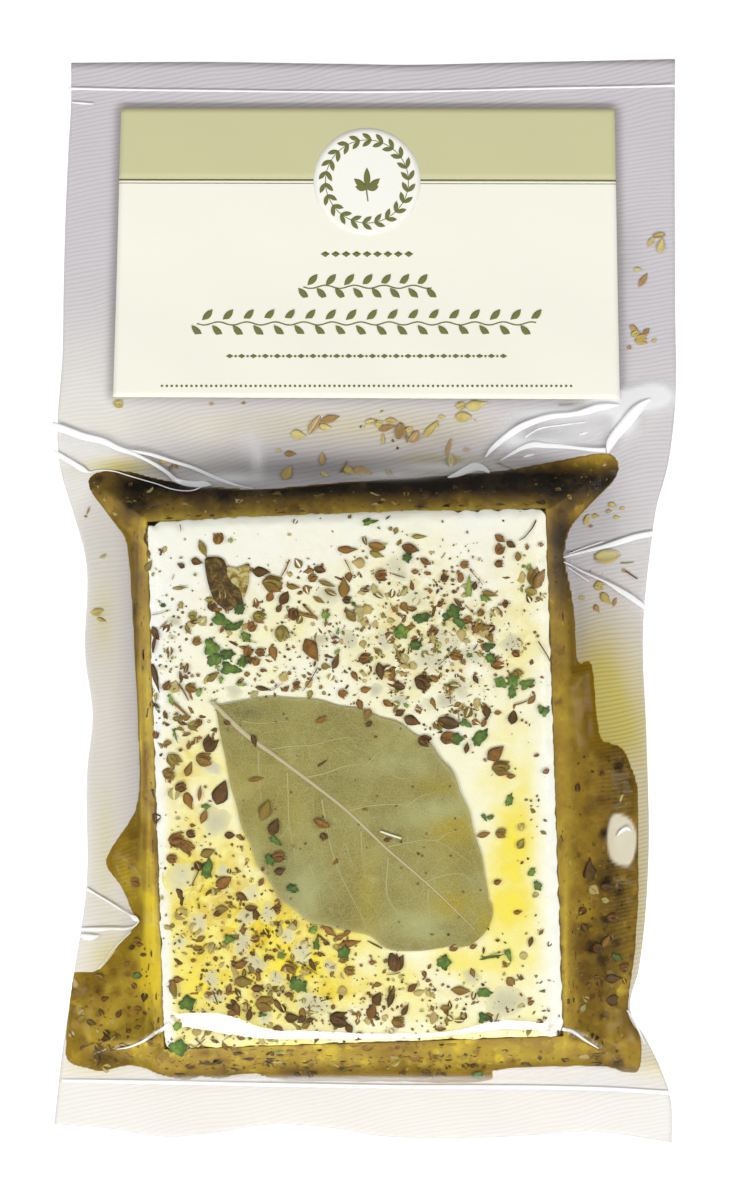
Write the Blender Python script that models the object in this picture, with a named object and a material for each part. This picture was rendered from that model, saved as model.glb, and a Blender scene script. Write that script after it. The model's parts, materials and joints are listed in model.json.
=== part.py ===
"""Vacuum-packed feta block in herb marinade, lying on its back with a paper label on its long end.

The pouch is one closed solid: a flat sealed film that rises over a block of cheese, with oil
drawn out into the corners, and with the bay leaf and the larger herbs raised on its top face.
Lengths are millimetres until a mesh is made, where MM turns them into metres. +Z is up, +Y runs
to the labelled end, and the origin lies on the floor under the middle of the pouch.
"""

import math
import random

import bmesh
import bpy
import numpy as np
from mathutils.geometry import delaunay_2d_cdt

MM = 0.001

# The block of cheese
BLOCK_WIDTH = 83.0
BLOCK_LENGTH = 109.5
BLOCK_CENTRE = (-2.1, -36.9)
BLOCK_TURN = math.radians(1.9)
TOP_HEIGHT = 19.6
EDGE_ROUND = 3.2
EDGE_DROP = 1.5
CROWN = 0.5

# How far the film slants out from each side of the block before it meets the sealed margin
REACH_LEFT = 4.6
REACH_RIGHT = 5.2
REACH_TOP = 8.4
REACH_BOTTOM = 7.8
WALL_POWER = 1.45

# The sealed margin: both films together, and how high the lower one runs above the floor
MARGIN_THICK = 0.8
UNDER_ROUND = 3.0
UNDER_RISE = 2.8
UNDER_RISE_REACH = 6.0
UNDER_FALL_START = 14.0
UNDER_FALL_REACH = 42.0
WAVE_HEIGHT = 0.45
WAVE_LENGTH = 31.0

# Oil that lies beside the block: its depth over the margin, and how soon it gets that deep
POOL_DEPTH = 2.6
POOL_REACH = 6.0

# The pouch's four edges, each as (along, across) points that a smooth curve passes through
LEFT_EDGE = [(-109.6, -65.1), (-96.5, -63.6), (-80.0, -61.2), (-60.0, -58.3), (-35.0, -58.1),
             (-24.0, -57.0), (-12.5, -58.5), (10.0, -58.7), (18.8, -61.2), (25.5, -63.3),
             (54.0, -63.3), (77.0, -62.9), (93.5, -62.2), (105.0, -61.6), (112.6, -61.6)]
RIGHT_EDGE = [(-113.4, 64.2), (-104.0, 63.8), (-92.2, 59.0), (-86.0, 55.5), (-77.0, 57.2),
              (-54.0, 59.2), (-29.0, 58.8), (-5.0, 58.1), (10.5, 59.6), (20.0, 61.0),
              (27.0, 63.0), (38.0, 64.6), (62.5, 64.9), (96.0, 64.8), (113.4, 64.9)]
BOTTOM_EDGE = [(-65.1, -109.6), (-55.0, -110.3), (-40.6, -112.2), (-28.0, -110.8), (-20.9, -109.7),
               (-7.3, -110.3), (3.1, -112.0), (11.4, -112.5), (36.0, -111.8), (46.7, -111.1),
               (64.2, -113.4)]
TOP_EDGE = [(-61.6, 112.6), (-40.6, 112.8), (-5.2, 112.4), (7.2, 112.2), (28.0, 112.6),
            (64.9, 113.4)]

# Outline of the oil, clockwise from the tip of the upper left ear
OIL_OUTLINE = [(-57.7, 25.1), (-42.7, 25.1), (-21.9, 23.2), (-5.3, 24.4), (23.9, 26.5),
               (44.7, 29.8), (52.0, 29.2), (48.8, 22.6), (43.2, 16.3), (41.2, 8.8),
               (43.6, -2.0), (44.3, -12.8), (48.0, -20.7), (48.0, -28.0), (55.1, -34.2),
               (56.7, -43.6), (57.1, -58.1), (56.7, -70.6), (55.1, -85.6), (57.6, -93.5),
               (54.7, -98.9), (48.8, -97.2), (28.0, -97.9), (23.9, -100.8), (-9.4, -101.0),
               (-21.5, -99.1), (-38.5, -99.7), (-48.9, -97.9), (-62.9, -94.5), (-61.6, -83.1),
               (-59.3, -77.5), (-55.2, -77.3), (-50.6, -72.7), (-47.3, -66.9), (-51.4, -60.8),
               (-53.9, -55.0), (-53.1, -51.9), (-47.3, -41.5), (-47.3, -24.9), (-48.9, 4.3),
               (-50.6, 13.6), (-55.2, 21.5)]

# Gathered ears of film at the block's corners, each (inner x, y, height, outer x, y, width)
EARS = [(-43.5, 15.5, 18.0, -57.0, 24.6, 6.0),
        (37.5, 18.5, 18.0, 52.5, 28.6, 6.5),
        (39.5, -90.0, 17.0, 56.0, -96.5, 6.0),
        (-40.5, -91.0, 16.0, -60.5, -92.5, 7.0)]
EAR_POWER = 1.2

# Creases that run out from the block, each (inner x, y, outer x, y, height, half width)
CREASES = [(-32.7, 24.6, -62.0, 36.5, 1.5, 2.6),
           (-33.5, 23.8, -61.5, 29.5, 1.1, 2.0),
           (-22.0, 24.0, -51.0, 33.5, 0.9, 2.6),
           (24.0, 28.0, 62.0, 43.4, 1.6, 3.4),
           (28.0, 28.6, 57.2, 38.4, 1.2, 2.4),
           (41.8, 9.0, 59.5, 14.5, 1.7, 2.2),
           (41.8, 8.4, 57.5, -1.0, 1.7, 2.2),
           (-47.3, -66.9, -57.3, -60.2, 1.5, 2.0),
           (-47.3, -66.9, -59.5, -69.6, 1.5, 2.0),
           (-48.0, -23.8, -56.5, -23.8, 1.0, 2.2),
           (47.5, -87.6, 54.5, -85.8, 1.0, 2.0)]

# Seals across the two ends
TOP_SEAL_IN = 6.2
BOTTOM_SEAL_IN = 9.8
SEAL_HALF_WIDTH = 1.0
SEAL_RIDGE = 0.45

# Paper label: its corners from upper left, clockwise, and how it lies on the film
LABEL_CORNERS = [(-51.1, 103.1), (52.2, 103.0), (53.2, 42.0), (-52.7, 42.5)]
LABEL_THICK = 0.3
LABEL_GAP = 0.3
LABEL_COLUMNS = 22
LABEL_ROWS = 12

# Bay leaf: stalk end, tip, half widths (share of length, distance) on its two sides, relief
LEAF_STALK = (-30.6, -22.0)
LEAF_TIP = (25.7, -70.0)
LEAF_OUTER = [(0.0, 0.4), (0.07, 6.8), (0.15, 12.0), (0.25, 16.6), (0.36, 20.5), (0.48, 22.6),
              (0.60, 21.6), (0.77, 15.0), (0.92, 6.6), (1.0, 0.3)]
LEAF_INNER = [(0.0, 0.4), (0.11, 7.0), (0.25, 14.5), (0.39, 19.7), (0.51, 21.8), (0.62, 20.3),
              (0.72, 16.2), (0.83, 14.0), (0.92, 7.2), (1.0, 0.3)]
LEAF_RISE = 0.75
LEAF_WAVE = 0.22
LEAF_VEIN = 0.3
LEAF_STEPS = 16
LEAF_SHARES = [-1.0, -0.66, -0.33, 0.0, 0.33, 0.66, 1.0]

# Larger toppings, each (x, y, length, width, turn in degrees, rise)
TOPPING_SINK = 1.6
CRUMPLED_LEAVES = [(-28.5, 3.4, 11.0, 5.5, -75.0, 1.3), (-27.0, -37.5, 6.5, 4.0, 60.0, 1.0)]
PARSLEY = [(-29.5, -8.6, 7.5, 6.0, 20.0, 1.1), (-24.0, -7.6, 5.5, 4.5, -35.0, 1.0),
           (-35.5, -9.2, 5.0, 3.5, 75.0, 0.9), (11.0, -4.2, 6.0, 4.5, 30.0, 1.0),
           (18.5, -4.0, 6.0, 4.0, -20.0, 1.0), (30.5, -17.0, 6.5, 4.5, 55.0, 1.0),
           (20.5, -29.5, 8.5, 4.0, 15.0, 1.0), (-33.5, -82.0, 6.5, 4.5, 25.0, 1.0),
           (-4.0, -73.5, 5.0, 3.5, -15.0, 0.9), (29.5, -40.5, 5.0, 3.5, 65.0, 0.9)]
GRANULES = [(15.5, -10.5, 8.5, 6.5, 35.0, 1.5), (22.5, -14.5, 6.5, 5.0, -20.0, 1.3),
            (-30.0, -47.0, 7.0, 5.5, 10.0, 1.3), (-21.5, -53.5, 5.5, 4.5, 70.0, 1.2),
            (-10.5, -83.0, 8.0, 6.5, -15.0, 1.5), (-24.0, -70.0, 6.0, 5.0, 40.0, 1.3),
            (30.0, -83.5, 9.0, 6.0, 20.0, 1.5), (2.0, -80.5, 6.0, 5.0, -50.0, 1.2),
            (-2.0, -6.0, 6.0, 4.5, 15.0, 1.2), (24.0, -24.5, 6.0, 4.5, 80.0, 1.2)]

# Smaller flakes, scattered by rule: (centre x, y, spread x, y, how many)
FLAKE_SEED = 41
FLAKE_FIELDS = [(-3.0, 0.0, 34.0, 11.0, 22), (6.0, -12.0, 30.0, 8.0, 12),
                (-34.0, -38.0, 6.0, 18.0, 8), (-24.0, -68.0, 17.0, 16.0, 14),
                (14.0, -79.0, 20.0, 8.0, 6), (35.0, -38.0, 4.0, 20.0, 5)]
FLAKE_LENGTH = (3.2, 4.8)
FLAKE_ASPECT = (0.5, 0.75)
FLAKE_RISE = (0.5, 0.85)
FLAKE_SPACING = 4.6
FLAKE_INSET = 5.0
FLAKE_SIDES = 7

# Grid lines of the pouch: distances out from the block, and shares across it
OUT_LEFT = [1.0, 0.86, 0.72, 0.58, 0.46, 0.35, 0.25, 0.16, 0.08]
OUT_RIGHT = [0.08, 0.16, 0.26, 0.36, 0.47, 0.58, 0.7, 0.84, 1.0]
OUT_BOTTOM = [1.0, 0.88, 0.64, 0.57, 0.5, 0.43, 0.35, 0.26, 0.17, 0.08]
OUT_TOP = [0.012, 0.024, 0.037, 0.052, 0.068, 0.086, 0.107, 0.13, 0.156, 0.186, 0.22, 0.26,
           0.31, 0.38, 0.47, 0.57, 0.68, 0.79, 0.88, 0.924, 0.935, 0.946, 1.0]
ACROSS_BLOCK = [0.0, 0.018, 0.04, 0.09, 0.2, 0.32, 0.44, 0.56, 0.68, 0.8, 0.91, 0.96, 0.982, 1.0]
ALONG_BLOCK = [0.0, 0.014, 0.03, 0.07, 0.15, 0.24, 0.33, 0.42, 0.5, 0.58, 0.67, 0.76, 0.85, 0.93,
               0.97, 0.986, 1.0]

# Fewer lines for the lower film, with one along the edge of the flat that the block rests on
FLAT_SHARE_X = UNDER_ROUND / BLOCK_WIDTH
FLAT_SHARE_Y = UNDER_ROUND / BLOCK_LENGTH
UNDER_SIDE = [0.2, 0.42, 0.7]
UNDER_TOP = [0.025, 0.06, 0.11, 0.18, 0.28, 0.42, 0.6, 0.8]
UNDER_ACROSS = [0.0, FLAT_SHARE_X, 0.5, 1.0 - FLAT_SHARE_X, 1.0]
UNDER_ALONG = [0.0, FLAT_SHARE_Y, 0.35, 0.65, 1.0 - FLAT_SHARE_Y, 1.0]


def clear_scene():
    for old in list(bpy.data.objects):
        bpy.data.objects.remove(old, do_unlink=True)


def smooth_step(share):
    share = np.clip(share, 0.0, 1.0)
    return share * share * (3.0 - 2.0 * share)


def smooth_through(points, at):
    """Value at the places given, on a smooth curve through (place, value) points."""
    places = np.array([point[0] for point in points], float)
    values = np.array([point[1] for point in points], float)
    slopes = np.gradient(values, places)
    at = np.clip(at, places[0], places[-1])
    left = np.clip(np.searchsorted(places, at, side="right") - 1, 0, len(places) - 2)
    step = places[left + 1] - places[left]
    t = (at - places[left]) / step
    start = (2 * t ** 3 - 3 * t ** 2 + 1) * values[left] + (t ** 3 - 2 * t ** 2 + t) * step * slopes[left]
    end = (3 * t ** 2 - 2 * t ** 3) * values[left + 1] + (t ** 3 - t ** 2) * step * slopes[left + 1]
    return start + end


def to_block(x, y):
    """The point measured from the block's middle, along its own sides."""
    right = x - BLOCK_CENTRE[0]
    up = y - BLOCK_CENTRE[1]
    cos, sin = math.cos(BLOCK_TURN), math.sin(BLOCK_TURN)
    return right * cos + up * sin, up * cos - right * sin


def block_side_x(side, y):
    """Where the line through the block's left (-1) or right (+1) side lies at height y."""
    cos, sin = math.cos(BLOCK_TURN), math.sin(BLOCK_TURN)
    half = side * BLOCK_WIDTH / 2
    along = (y - BLOCK_CENTRE[1] - half * sin) / cos
    return BLOCK_CENTRE[0] + half * cos - along * sin


def block_end_y(end, x):
    """Where the line through the block's lower (-1) or upper (+1) end lies at x."""
    cos, sin = math.cos(BLOCK_TURN), math.sin(BLOCK_TURN)
    half = end * BLOCK_LENGTH / 2
    across = (x - BLOCK_CENTRE[0] + half * sin) / cos
    return BLOCK_CENTRE[1] + half * cos + across * sin


def wall_share(x, y):
    """0 on the block's outline, 1 where the slanting film meets the margin, under 0 inside."""
    across, along = to_block(x, y)
    over_x = np.abs(across) - BLOCK_WIDTH / 2
    over_y = np.abs(along) - BLOCK_LENGTH / 2
    reach_x = np.where(across < 0, REACH_LEFT, REACH_RIGHT)
    reach_y = np.where(along < 0, REACH_BOTTOM, REACH_TOP)
    outside = np.hypot(np.maximum(over_x, 0) / reach_x, np.maximum(over_y, 0) / reach_y)
    return outside, np.minimum(np.maximum(over_x, over_y), 0.0)


def gap_to_block(x, y):
    across, along = to_block(x, y)
    over_x = np.maximum(np.abs(across) - BLOCK_WIDTH / 2, 0)
    over_y = np.maximum(np.abs(along) - BLOCK_LENGTH / 2, 0)
    return np.hypot(over_x, over_y)


def underside(x, y):
    """Height of the lower film: flat under the block, lifted round it, down again far away."""
    inside = wall_share(x, y)[1]
    gap = gap_to_block(x, y)
    lift = UNDER_RISE * smooth_step((gap + UNDER_ROUND + inside) / UNDER_RISE_REACH)
    lift = np.where(inside < -UNDER_ROUND, 0.0, lift)
    fall = 1.0 - smooth_step((gap - UNDER_FALL_START) / UNDER_FALL_REACH)
    wave = np.sin(2 * math.pi * (x + 0.6 * y) / WAVE_LENGTH) * np.sin(2 * math.pi * y / (1.7 * WAVE_LENGTH))
    wave = WAVE_HEIGHT * (0.5 + 0.5 * wave) * smooth_step((gap - 2.0) / 12.0)
    return lift * fall + wave * (0.35 + 0.65 * fall)


def depth_in_oil(x, y):
    """Distance in from the oil's outline, 0 outside it."""
    inside = np.zeros(x.shape, bool)
    nearest = np.full(x.shape, 1e6)
    count = len(OIL_OUTLINE)
    for index in range(count):
        ax, ay = OIL_OUTLINE[index]
        bx, by = OIL_OUTLINE[(index + 1) % count]
        along = ((x - ax) * (bx - ax) + (y - ay) * (by - ay)) / ((bx - ax) ** 2 + (by - ay) ** 2)
        along = np.clip(along, 0.0, 1.0)
        nearest = np.minimum(nearest, np.hypot(x - ax - along * (bx - ax), y - ay - along * (by - ay)))
        if ay != by:
            crossing = ax + (y - ay) * (bx - ax) / (by - ay)
            inside ^= ((ay > y) != (by > y)) & (x < crossing)
    return np.where(inside, nearest, 0.0)


def along_line(x, y, line):
    """Share along a line from its inner to its outer end, and the distance from it."""
    ax, ay, bx, by = line
    length = math.hypot(bx - ax, by - ay)
    share = ((x - ax) * (bx - ax) + (y - ay) * (by - ay)) / length ** 2
    held = np.clip(share, 0.0, 1.0)
    return share, np.hypot(x - ax - held * (bx - ax), y - ay - held * (by - ay))


def topside(x, y):
    """Height of the upper film."""
    margin = underside(x, y) + MARGIN_THICK
    outside, inside = wall_share(x, y)
    across, along = to_block(x, y)
    crown = CROWN * (1 - (2 * across / BLOCK_WIDTH) ** 2) * (1 - (2 * along / BLOCK_LENGTH) ** 2)
    rounding = EDGE_DROP * np.clip(1.0 + inside / EDGE_ROUND, 0.0, 1.0) ** 2
    face = TOP_HEIGHT + np.maximum(crown, 0.0) - rounding
    edge = TOP_HEIGHT - EDGE_DROP
    wall = margin + (edge - margin) * np.clip(1.0 - outside, 0.0, 1.0) ** WALL_POWER
    height = np.where(outside > 0.0, wall, face)

    pool = margin + POOL_DEPTH * smooth_step(depth_in_oil(x, y) / POOL_REACH)
    height = np.maximum(height, pool)

    for inner_x, inner_y, top, outer_x, outer_y, width in EARS:
        share, off = along_line(x, y, (inner_x, inner_y, outer_x, outer_y))
        held = np.clip(share, 0.0, 1.0)
        ridge = (top - margin) * (1.0 - held) ** EAR_POWER + 1.0 * (1.0 - held)
        spread = width * (1.0 - 0.55 * held)
        height = np.maximum(height, margin + ridge * np.clip(1.0 - off / spread, 0.0, 1.0))

    for inner_x, inner_y, outer_x, outer_y, rise, half_width in CREASES:
        share, off = along_line(x, y, (inner_x, inner_y, outer_x, outer_y))
        taper = np.sin(math.pi * np.clip(share, 0.02, 0.98)) ** 0.7
        ridge = rise * taper * np.clip(1.0 - off / half_width, 0.0, 1.0)
        height = height + np.where(outside > 1.0, ridge, 0.0)

    top_gap = np.abs(smooth_through(TOP_EDGE, x) - TOP_SEAL_IN - y)
    bottom_gap = np.abs(smooth_through(BOTTOM_EDGE, x) + BOTTOM_SEAL_IN - y)
    nearest_seal = np.minimum(top_gap, bottom_gap)
    return height + SEAL_RIDGE * np.clip(1.0 - nearest_seal / SEAL_HALF_WIDTH, 0.0, 1.0)


def between(start, end, share):
    return start + (end - start) * share


def zones(names, shares):
    return [(name, share) for name, group in zip(names, shares) for share in group]


def pouch_grid(columns, rows):
    """Places where the columns and rows cross, each line a zone's name and a share across it."""
    xs = np.zeros((len(rows), len(columns)))
    ys = np.zeros_like(xs)
    for _ in range(6):
        for number, (zone, share) in enumerate(rows):
            x = xs[number]
            low, high = block_end_y(-1, x), block_end_y(1, x)
            if zone == "bottom":
                ys[number] = between(low, smooth_through(BOTTOM_EDGE, x), share)
            elif zone == "top":
                ys[number] = between(high, smooth_through(TOP_EDGE, x), share)
            else:
                ys[number] = between(low, high, share)
        for number, (zone, share) in enumerate(columns):
            y = ys[:, number]
            low, high = block_side_x(-1, y), block_side_x(1, y)
            if zone == "left":
                xs[:, number] = between(low, smooth_through(LEFT_EDGE, y), share)
            elif zone == "right":
                xs[:, number] = between(high, smooth_through(RIGHT_EDGE, y), share)
            else:
                xs[:, number] = between(low, high, share)
    return xs, ys


def rim_of_grid(row_count, column_count):
    """Grid places round the rim, counter-clockwise from the lower left corner."""
    rim = [(0, column) for column in range(column_count)]
    rim += [(row, column_count - 1) for row in range(1, row_count)]
    rim += [(row_count - 1, column) for column in range(column_count - 2, -1, -1)]
    rim += [(row, 0) for row in range(row_count - 2, 0, -1)]
    return rim


def underside_faces(xs, ys, rim):
    """Points and triangles of the lower film, with fewer points inside than the upper film has."""
    flat = [(xs[place], ys[place]) for place in rim]
    columns = zones(("left", "block", "right"), (UNDER_SIDE[::-1], UNDER_ACROSS, UNDER_SIDE))
    rows = zones(("bottom", "block", "top"), (UNDER_SIDE[::-1], UNDER_ALONG, UNDER_TOP))
    inner_x, inner_y = pouch_grid(columns, rows)
    flat += list(zip(inner_x.flat, inner_y.flat))
    edges = [(number, (number + 1) % len(rim)) for number in range(len(rim))]
    points, _, faces, _, _, _ = delaunay_2d_cdt(flat, edges, [], 1, 1e-6)
    return points, faces


def finish_object(name, mesh_data, colour, roughness):
    """An object from a bmesh, with its own plain material, faces out and split into triangles."""
    bmesh.ops.recalc_face_normals(mesh_data, faces=mesh_data.faces)
    bmesh.ops.triangulate(mesh_data, faces=mesh_data.faces)
    bmesh.ops.scale(mesh_data, vec=(MM, MM, MM), verts=mesh_data.verts)
    mesh = bpy.data.meshes.new(name)
    mesh_data.to_mesh(mesh)
    mesh_data.free()
    material = bpy.data.materials.new(name)
    material.use_nodes = True
    shader = material.node_tree.nodes["Principled BSDF"]
    shader.inputs["Base Color"].default_value = (*colour, 1.0)
    shader.inputs["Roughness"].default_value = roughness
    mesh.materials.append(material)
    made = bpy.data.objects.new(name, mesh)
    bpy.context.scene.collection.objects.link(made)
    return made


def make_pouch():
    """The sealed pouch with its block, before the herbs are joined on."""
    columns = zones(("left", "block", "right"), (OUT_LEFT, ACROSS_BLOCK, OUT_RIGHT))
    rows = zones(("bottom", "block", "top"), (OUT_BOTTOM, ALONG_BLOCK, OUT_TOP))
    xs, ys = pouch_grid(columns, rows)
    heights = topside(xs, ys)
    row_count, column_count = xs.shape
    pouch = bmesh.new()
    top = [[pouch.verts.new((xs[row, column], ys[row, column], heights[row, column]))
            for column in range(column_count)] for row in range(row_count)]
    for row in range(row_count - 1):
        for column in range(column_count - 1):
            pouch.faces.new((top[row][column], top[row][column + 1],
                             top[row + 1][column + 1], top[row + 1][column]))
    rim = rim_of_grid(row_count, column_count)
    points, faces = underside_faces(xs, ys, rim)
    low_x = np.array([point[0] for point in points])
    low_y = np.array([point[1] for point in points])
    low_z = underside(low_x, low_y)
    under = [pouch.verts.new(place) for place in zip(low_x, low_y, low_z)]
    for face in faces:
        pouch.faces.new([under[index] for index in reversed(face)])
    for number in range(len(rim)):
        after = (number + 1) % len(rim)
        row, column = rim[number]
        next_row, next_column = rim[after]
        pouch.faces.new((top[row][column], under[number], under[after], top[next_row][next_column]))
    return finish_object("feta_pouch", pouch, (0.62, 0.52, 0.22), 0.25)


def face_height(x, y):
    return float(topside(np.array([x]), np.array([y]))[0])


def leaf_shape():
    """The bay leaf as a thin wavy solid whose two faces are split alike."""
    leaf = bmesh.new()
    length = math.hypot(LEAF_TIP[0] - LEAF_STALK[0], LEAF_TIP[1] - LEAF_STALK[1])
    along_x = (LEAF_TIP[0] - LEAF_STALK[0]) / length
    along_y = (LEAF_TIP[1] - LEAF_STALK[1]) / length
    upper, lower = [], []
    for step in range(LEAF_STEPS + 1):
        share = step / LEAF_STEPS
        outer = float(smooth_through(LEAF_OUTER, np.array([share]))[0])
        inner = float(smooth_through(LEAF_INNER, np.array([share]))[0])
        upper_row, lower_row = [], []
        for side in LEAF_SHARES:
            off = side * (outer if side > 0 else inner)
            x = LEAF_STALK[0] + along_x * share * length - along_y * off
            y = LEAF_STALK[1] + along_y * share * length + along_x * off
            wave = LEAF_WAVE * math.sin(9.0 * share + 2.2 * side)
            rise = LEAF_RISE + wave + LEAF_VEIN * (1.0 - abs(side)) ** 3
            z = face_height(x, y)
            upper_row.append(leaf.verts.new((x, y, z + rise)))
            lower_row.append(leaf.verts.new((x, y, z - TOPPING_SINK)))
        upper.append(upper_row)
        lower.append(lower_row)
    last = len(LEAF_SHARES) - 1
    for step in range(LEAF_STEPS):
        for side in range(last):
            leaf.faces.new((upper[step][side], upper[step][side + 1],
                            upper[step + 1][side + 1], upper[step + 1][side]))
            leaf.faces.new((lower[step][side], lower[step + 1][side],
                            lower[step + 1][side + 1], lower[step][side + 1]))
        for side in (0, last):
            leaf.faces.new((upper[step][side], upper[step + 1][side],
                            lower[step + 1][side], lower[step][side]))
    for step in (0, LEAF_STEPS):
        for side in range(last):
            leaf.faces.new((upper[step][side], lower[step][side],
                            lower[step][side + 1], upper[step][side + 1]))
    return leaf


def topping_shape(place, sides, notch, peak):
    """A low raised piece: an oval outline, notched by the share given, with a raised middle."""
    x, y, length, width, turn, rise = place
    turn = math.radians(turn)
    piece = bmesh.new()
    z = face_height(x, y)
    rings = []
    for scale, height in ((1.0, -TOPPING_SINK), (1.0, 0.45 * rise), (peak, rise)):
        ring = []
        for side in range(sides):
            angle = 2 * math.pi * side / sides
            out = scale * (1.0 - notch * (side % 2))
            right = 0.5 * length * out * math.cos(angle)
            up = 0.5 * width * out * math.sin(angle)
            ring.append(piece.verts.new((x + right * math.cos(turn) - up * math.sin(turn),
                                         y + right * math.sin(turn) + up * math.cos(turn),
                                         z + height)))
        rings.append(ring)
    for low, high in zip(rings, rings[1:]):
        for side in range(sides):
            after = (side + 1) % sides
            piece.faces.new((low[side], low[after], high[after], high[side]))
    piece.faces.new(list(reversed(rings[0])))
    piece.faces.new(rings[-1])
    return piece


def under_leaf(x, y):
    """True where the bay leaf lies, or within a flake's length of it."""
    length = math.hypot(LEAF_TIP[0] - LEAF_STALK[0], LEAF_TIP[1] - LEAF_STALK[1])
    along_x = (LEAF_TIP[0] - LEAF_STALK[0]) / length
    along_y = (LEAF_TIP[1] - LEAF_STALK[1]) / length
    share = ((x - LEAF_STALK[0]) * along_x + (y - LEAF_STALK[1]) * along_y) / length
    off = (y - LEAF_STALK[1]) * along_x - (x - LEAF_STALK[0]) * along_y
    if share < -0.05 or share > 1.05:
        return False
    width = smooth_through(LEAF_OUTER if off > 0 else LEAF_INNER, np.array([share]))[0]
    return abs(off) < width + FLAKE_LENGTH[1] / 2 + 0.6


def scatter_flakes():
    """Places of the smaller flakes, clear of each other, the leaf and the larger toppings."""
    draw = random.Random(FLAKE_SEED)
    taken = [(place[0], place[1], place[2] / 2) for place in CRUMPLED_LEAVES + PARSLEY + GRANULES]
    flakes = []
    for centre_x, centre_y, spread_x, spread_y, wanted in FLAKE_FIELDS:
        placed = 0
        for _ in range(400):
            if placed == wanted:
                break
            x = centre_x + spread_x * draw.uniform(-1, 1)
            y = centre_y + spread_y * draw.uniform(-1, 1)
            inside = float(wall_share(np.array([x]), np.array([y]))[1][0])
            if inside > -FLAKE_INSET or under_leaf(x, y):
                continue
            if any(math.hypot(x - ox, y - oy) < FLAKE_SPACING / 2 + room + 0.5 for ox, oy, room in taken):
                continue
            length = draw.uniform(*FLAKE_LENGTH)
            flakes.append((x, y, length, length * draw.uniform(*FLAKE_ASPECT),
                           draw.uniform(0, 180), draw.uniform(*FLAKE_RISE)))
            taken.append((x, y, FLAKE_SPACING / 2))
            placed += 1
    return flakes


def join_toppings(pouch):
    """One union of the pouch with its leaf, granules, parsley and flakes."""
    shapes = [leaf_shape()]
    shapes += [topping_shape(place, 10, 0.22, 0.6) for place in CRUMPLED_LEAVES]
    shapes += [topping_shape(place, 10, 0.28, 0.55) for place in PARSLEY]
    shapes += [topping_shape(place, 8, 0.0, 0.55) for place in GRANULES]
    shapes += [topping_shape(place, FLAKE_SIDES, 0.0, 0.45) for place in scatter_flakes()]
    toppings = bpy.data.collections.new("toppings")
    bpy.context.scene.collection.children.link(toppings)
    for number, shape in enumerate(shapes):
        piece = finish_object(f"topping_{number}", shape, (0.3, 0.35, 0.1), 0.6)
        bpy.context.scene.collection.objects.unlink(piece)
        toppings.objects.link(piece)
    union = pouch.modifiers.new("toppings", "BOOLEAN")
    union.operation = "UNION"
    union.operand_type = "COLLECTION"
    union.collection = toppings
    union.solver = "EXACT"
    graph = bpy.context.evaluated_depsgraph_get()
    joined = bpy.data.meshes.new_from_object(pouch.evaluated_get(graph), depsgraph=graph)
    pouch.modifiers.clear()
    pouch.data = joined
    while len(joined.materials) > 1:
        joined.materials.pop()
    for polygon in joined.polygons:
        polygon.material_index = 0
    for piece in list(toppings.objects):
        bpy.data.objects.remove(piece, do_unlink=True)
    bpy.data.collections.remove(toppings)


def make_label():
    """The paper label: a thin sheet that follows the film just below it."""
    across = np.linspace(0.0, 1.0, LABEL_COLUMNS + 1)
    down = np.linspace(0.0, 1.0, LABEL_ROWS + 1)
    share_x, share_y = np.meshgrid(across, down)
    upper_left, upper_right, lower_right, lower_left = LABEL_CORNERS
    x = between(between(upper_left[0], upper_right[0], share_x),
                between(lower_left[0], lower_right[0], share_x), share_y)
    y = between(between(upper_left[1], upper_right[1], share_x),
                between(lower_left[1], lower_right[1], share_x), share_y)
    base = topside(x, y) + LABEL_GAP
    label = bmesh.new()
    levels = []
    for lift in (0.0, LABEL_THICK):
        levels.append([[label.verts.new((x[row, column], y[row, column], base[row, column] + lift))
                        for column in range(LABEL_COLUMNS + 1)] for row in range(LABEL_ROWS + 1)])
    for level in levels:
        for row in range(LABEL_ROWS):
            for column in range(LABEL_COLUMNS):
                label.faces.new((level[row][column], level[row][column + 1],
                                 level[row + 1][column + 1], level[row + 1][column]))
    rim = rim_of_grid(LABEL_ROWS + 1, LABEL_COLUMNS + 1)
    low, high = levels
    for number in range(len(rim)):
        row, column = rim[number]
        next_row, next_column = rim[(number + 1) % len(rim)]
        label.faces.new((low[row][column], low[next_row][next_column],
                         high[next_row][next_column], high[row][column]))
    return finish_object("paper_label", label, (0.87, 0.85, 0.75), 0.7)


clear_scene()
feta_pouch = make_pouch()
join_toppings(feta_pouch)
make_label()
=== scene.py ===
import json
import math
import random

import bpy
import numpy as np
from mathutils import Euler, Matrix, Vector, noise

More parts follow.
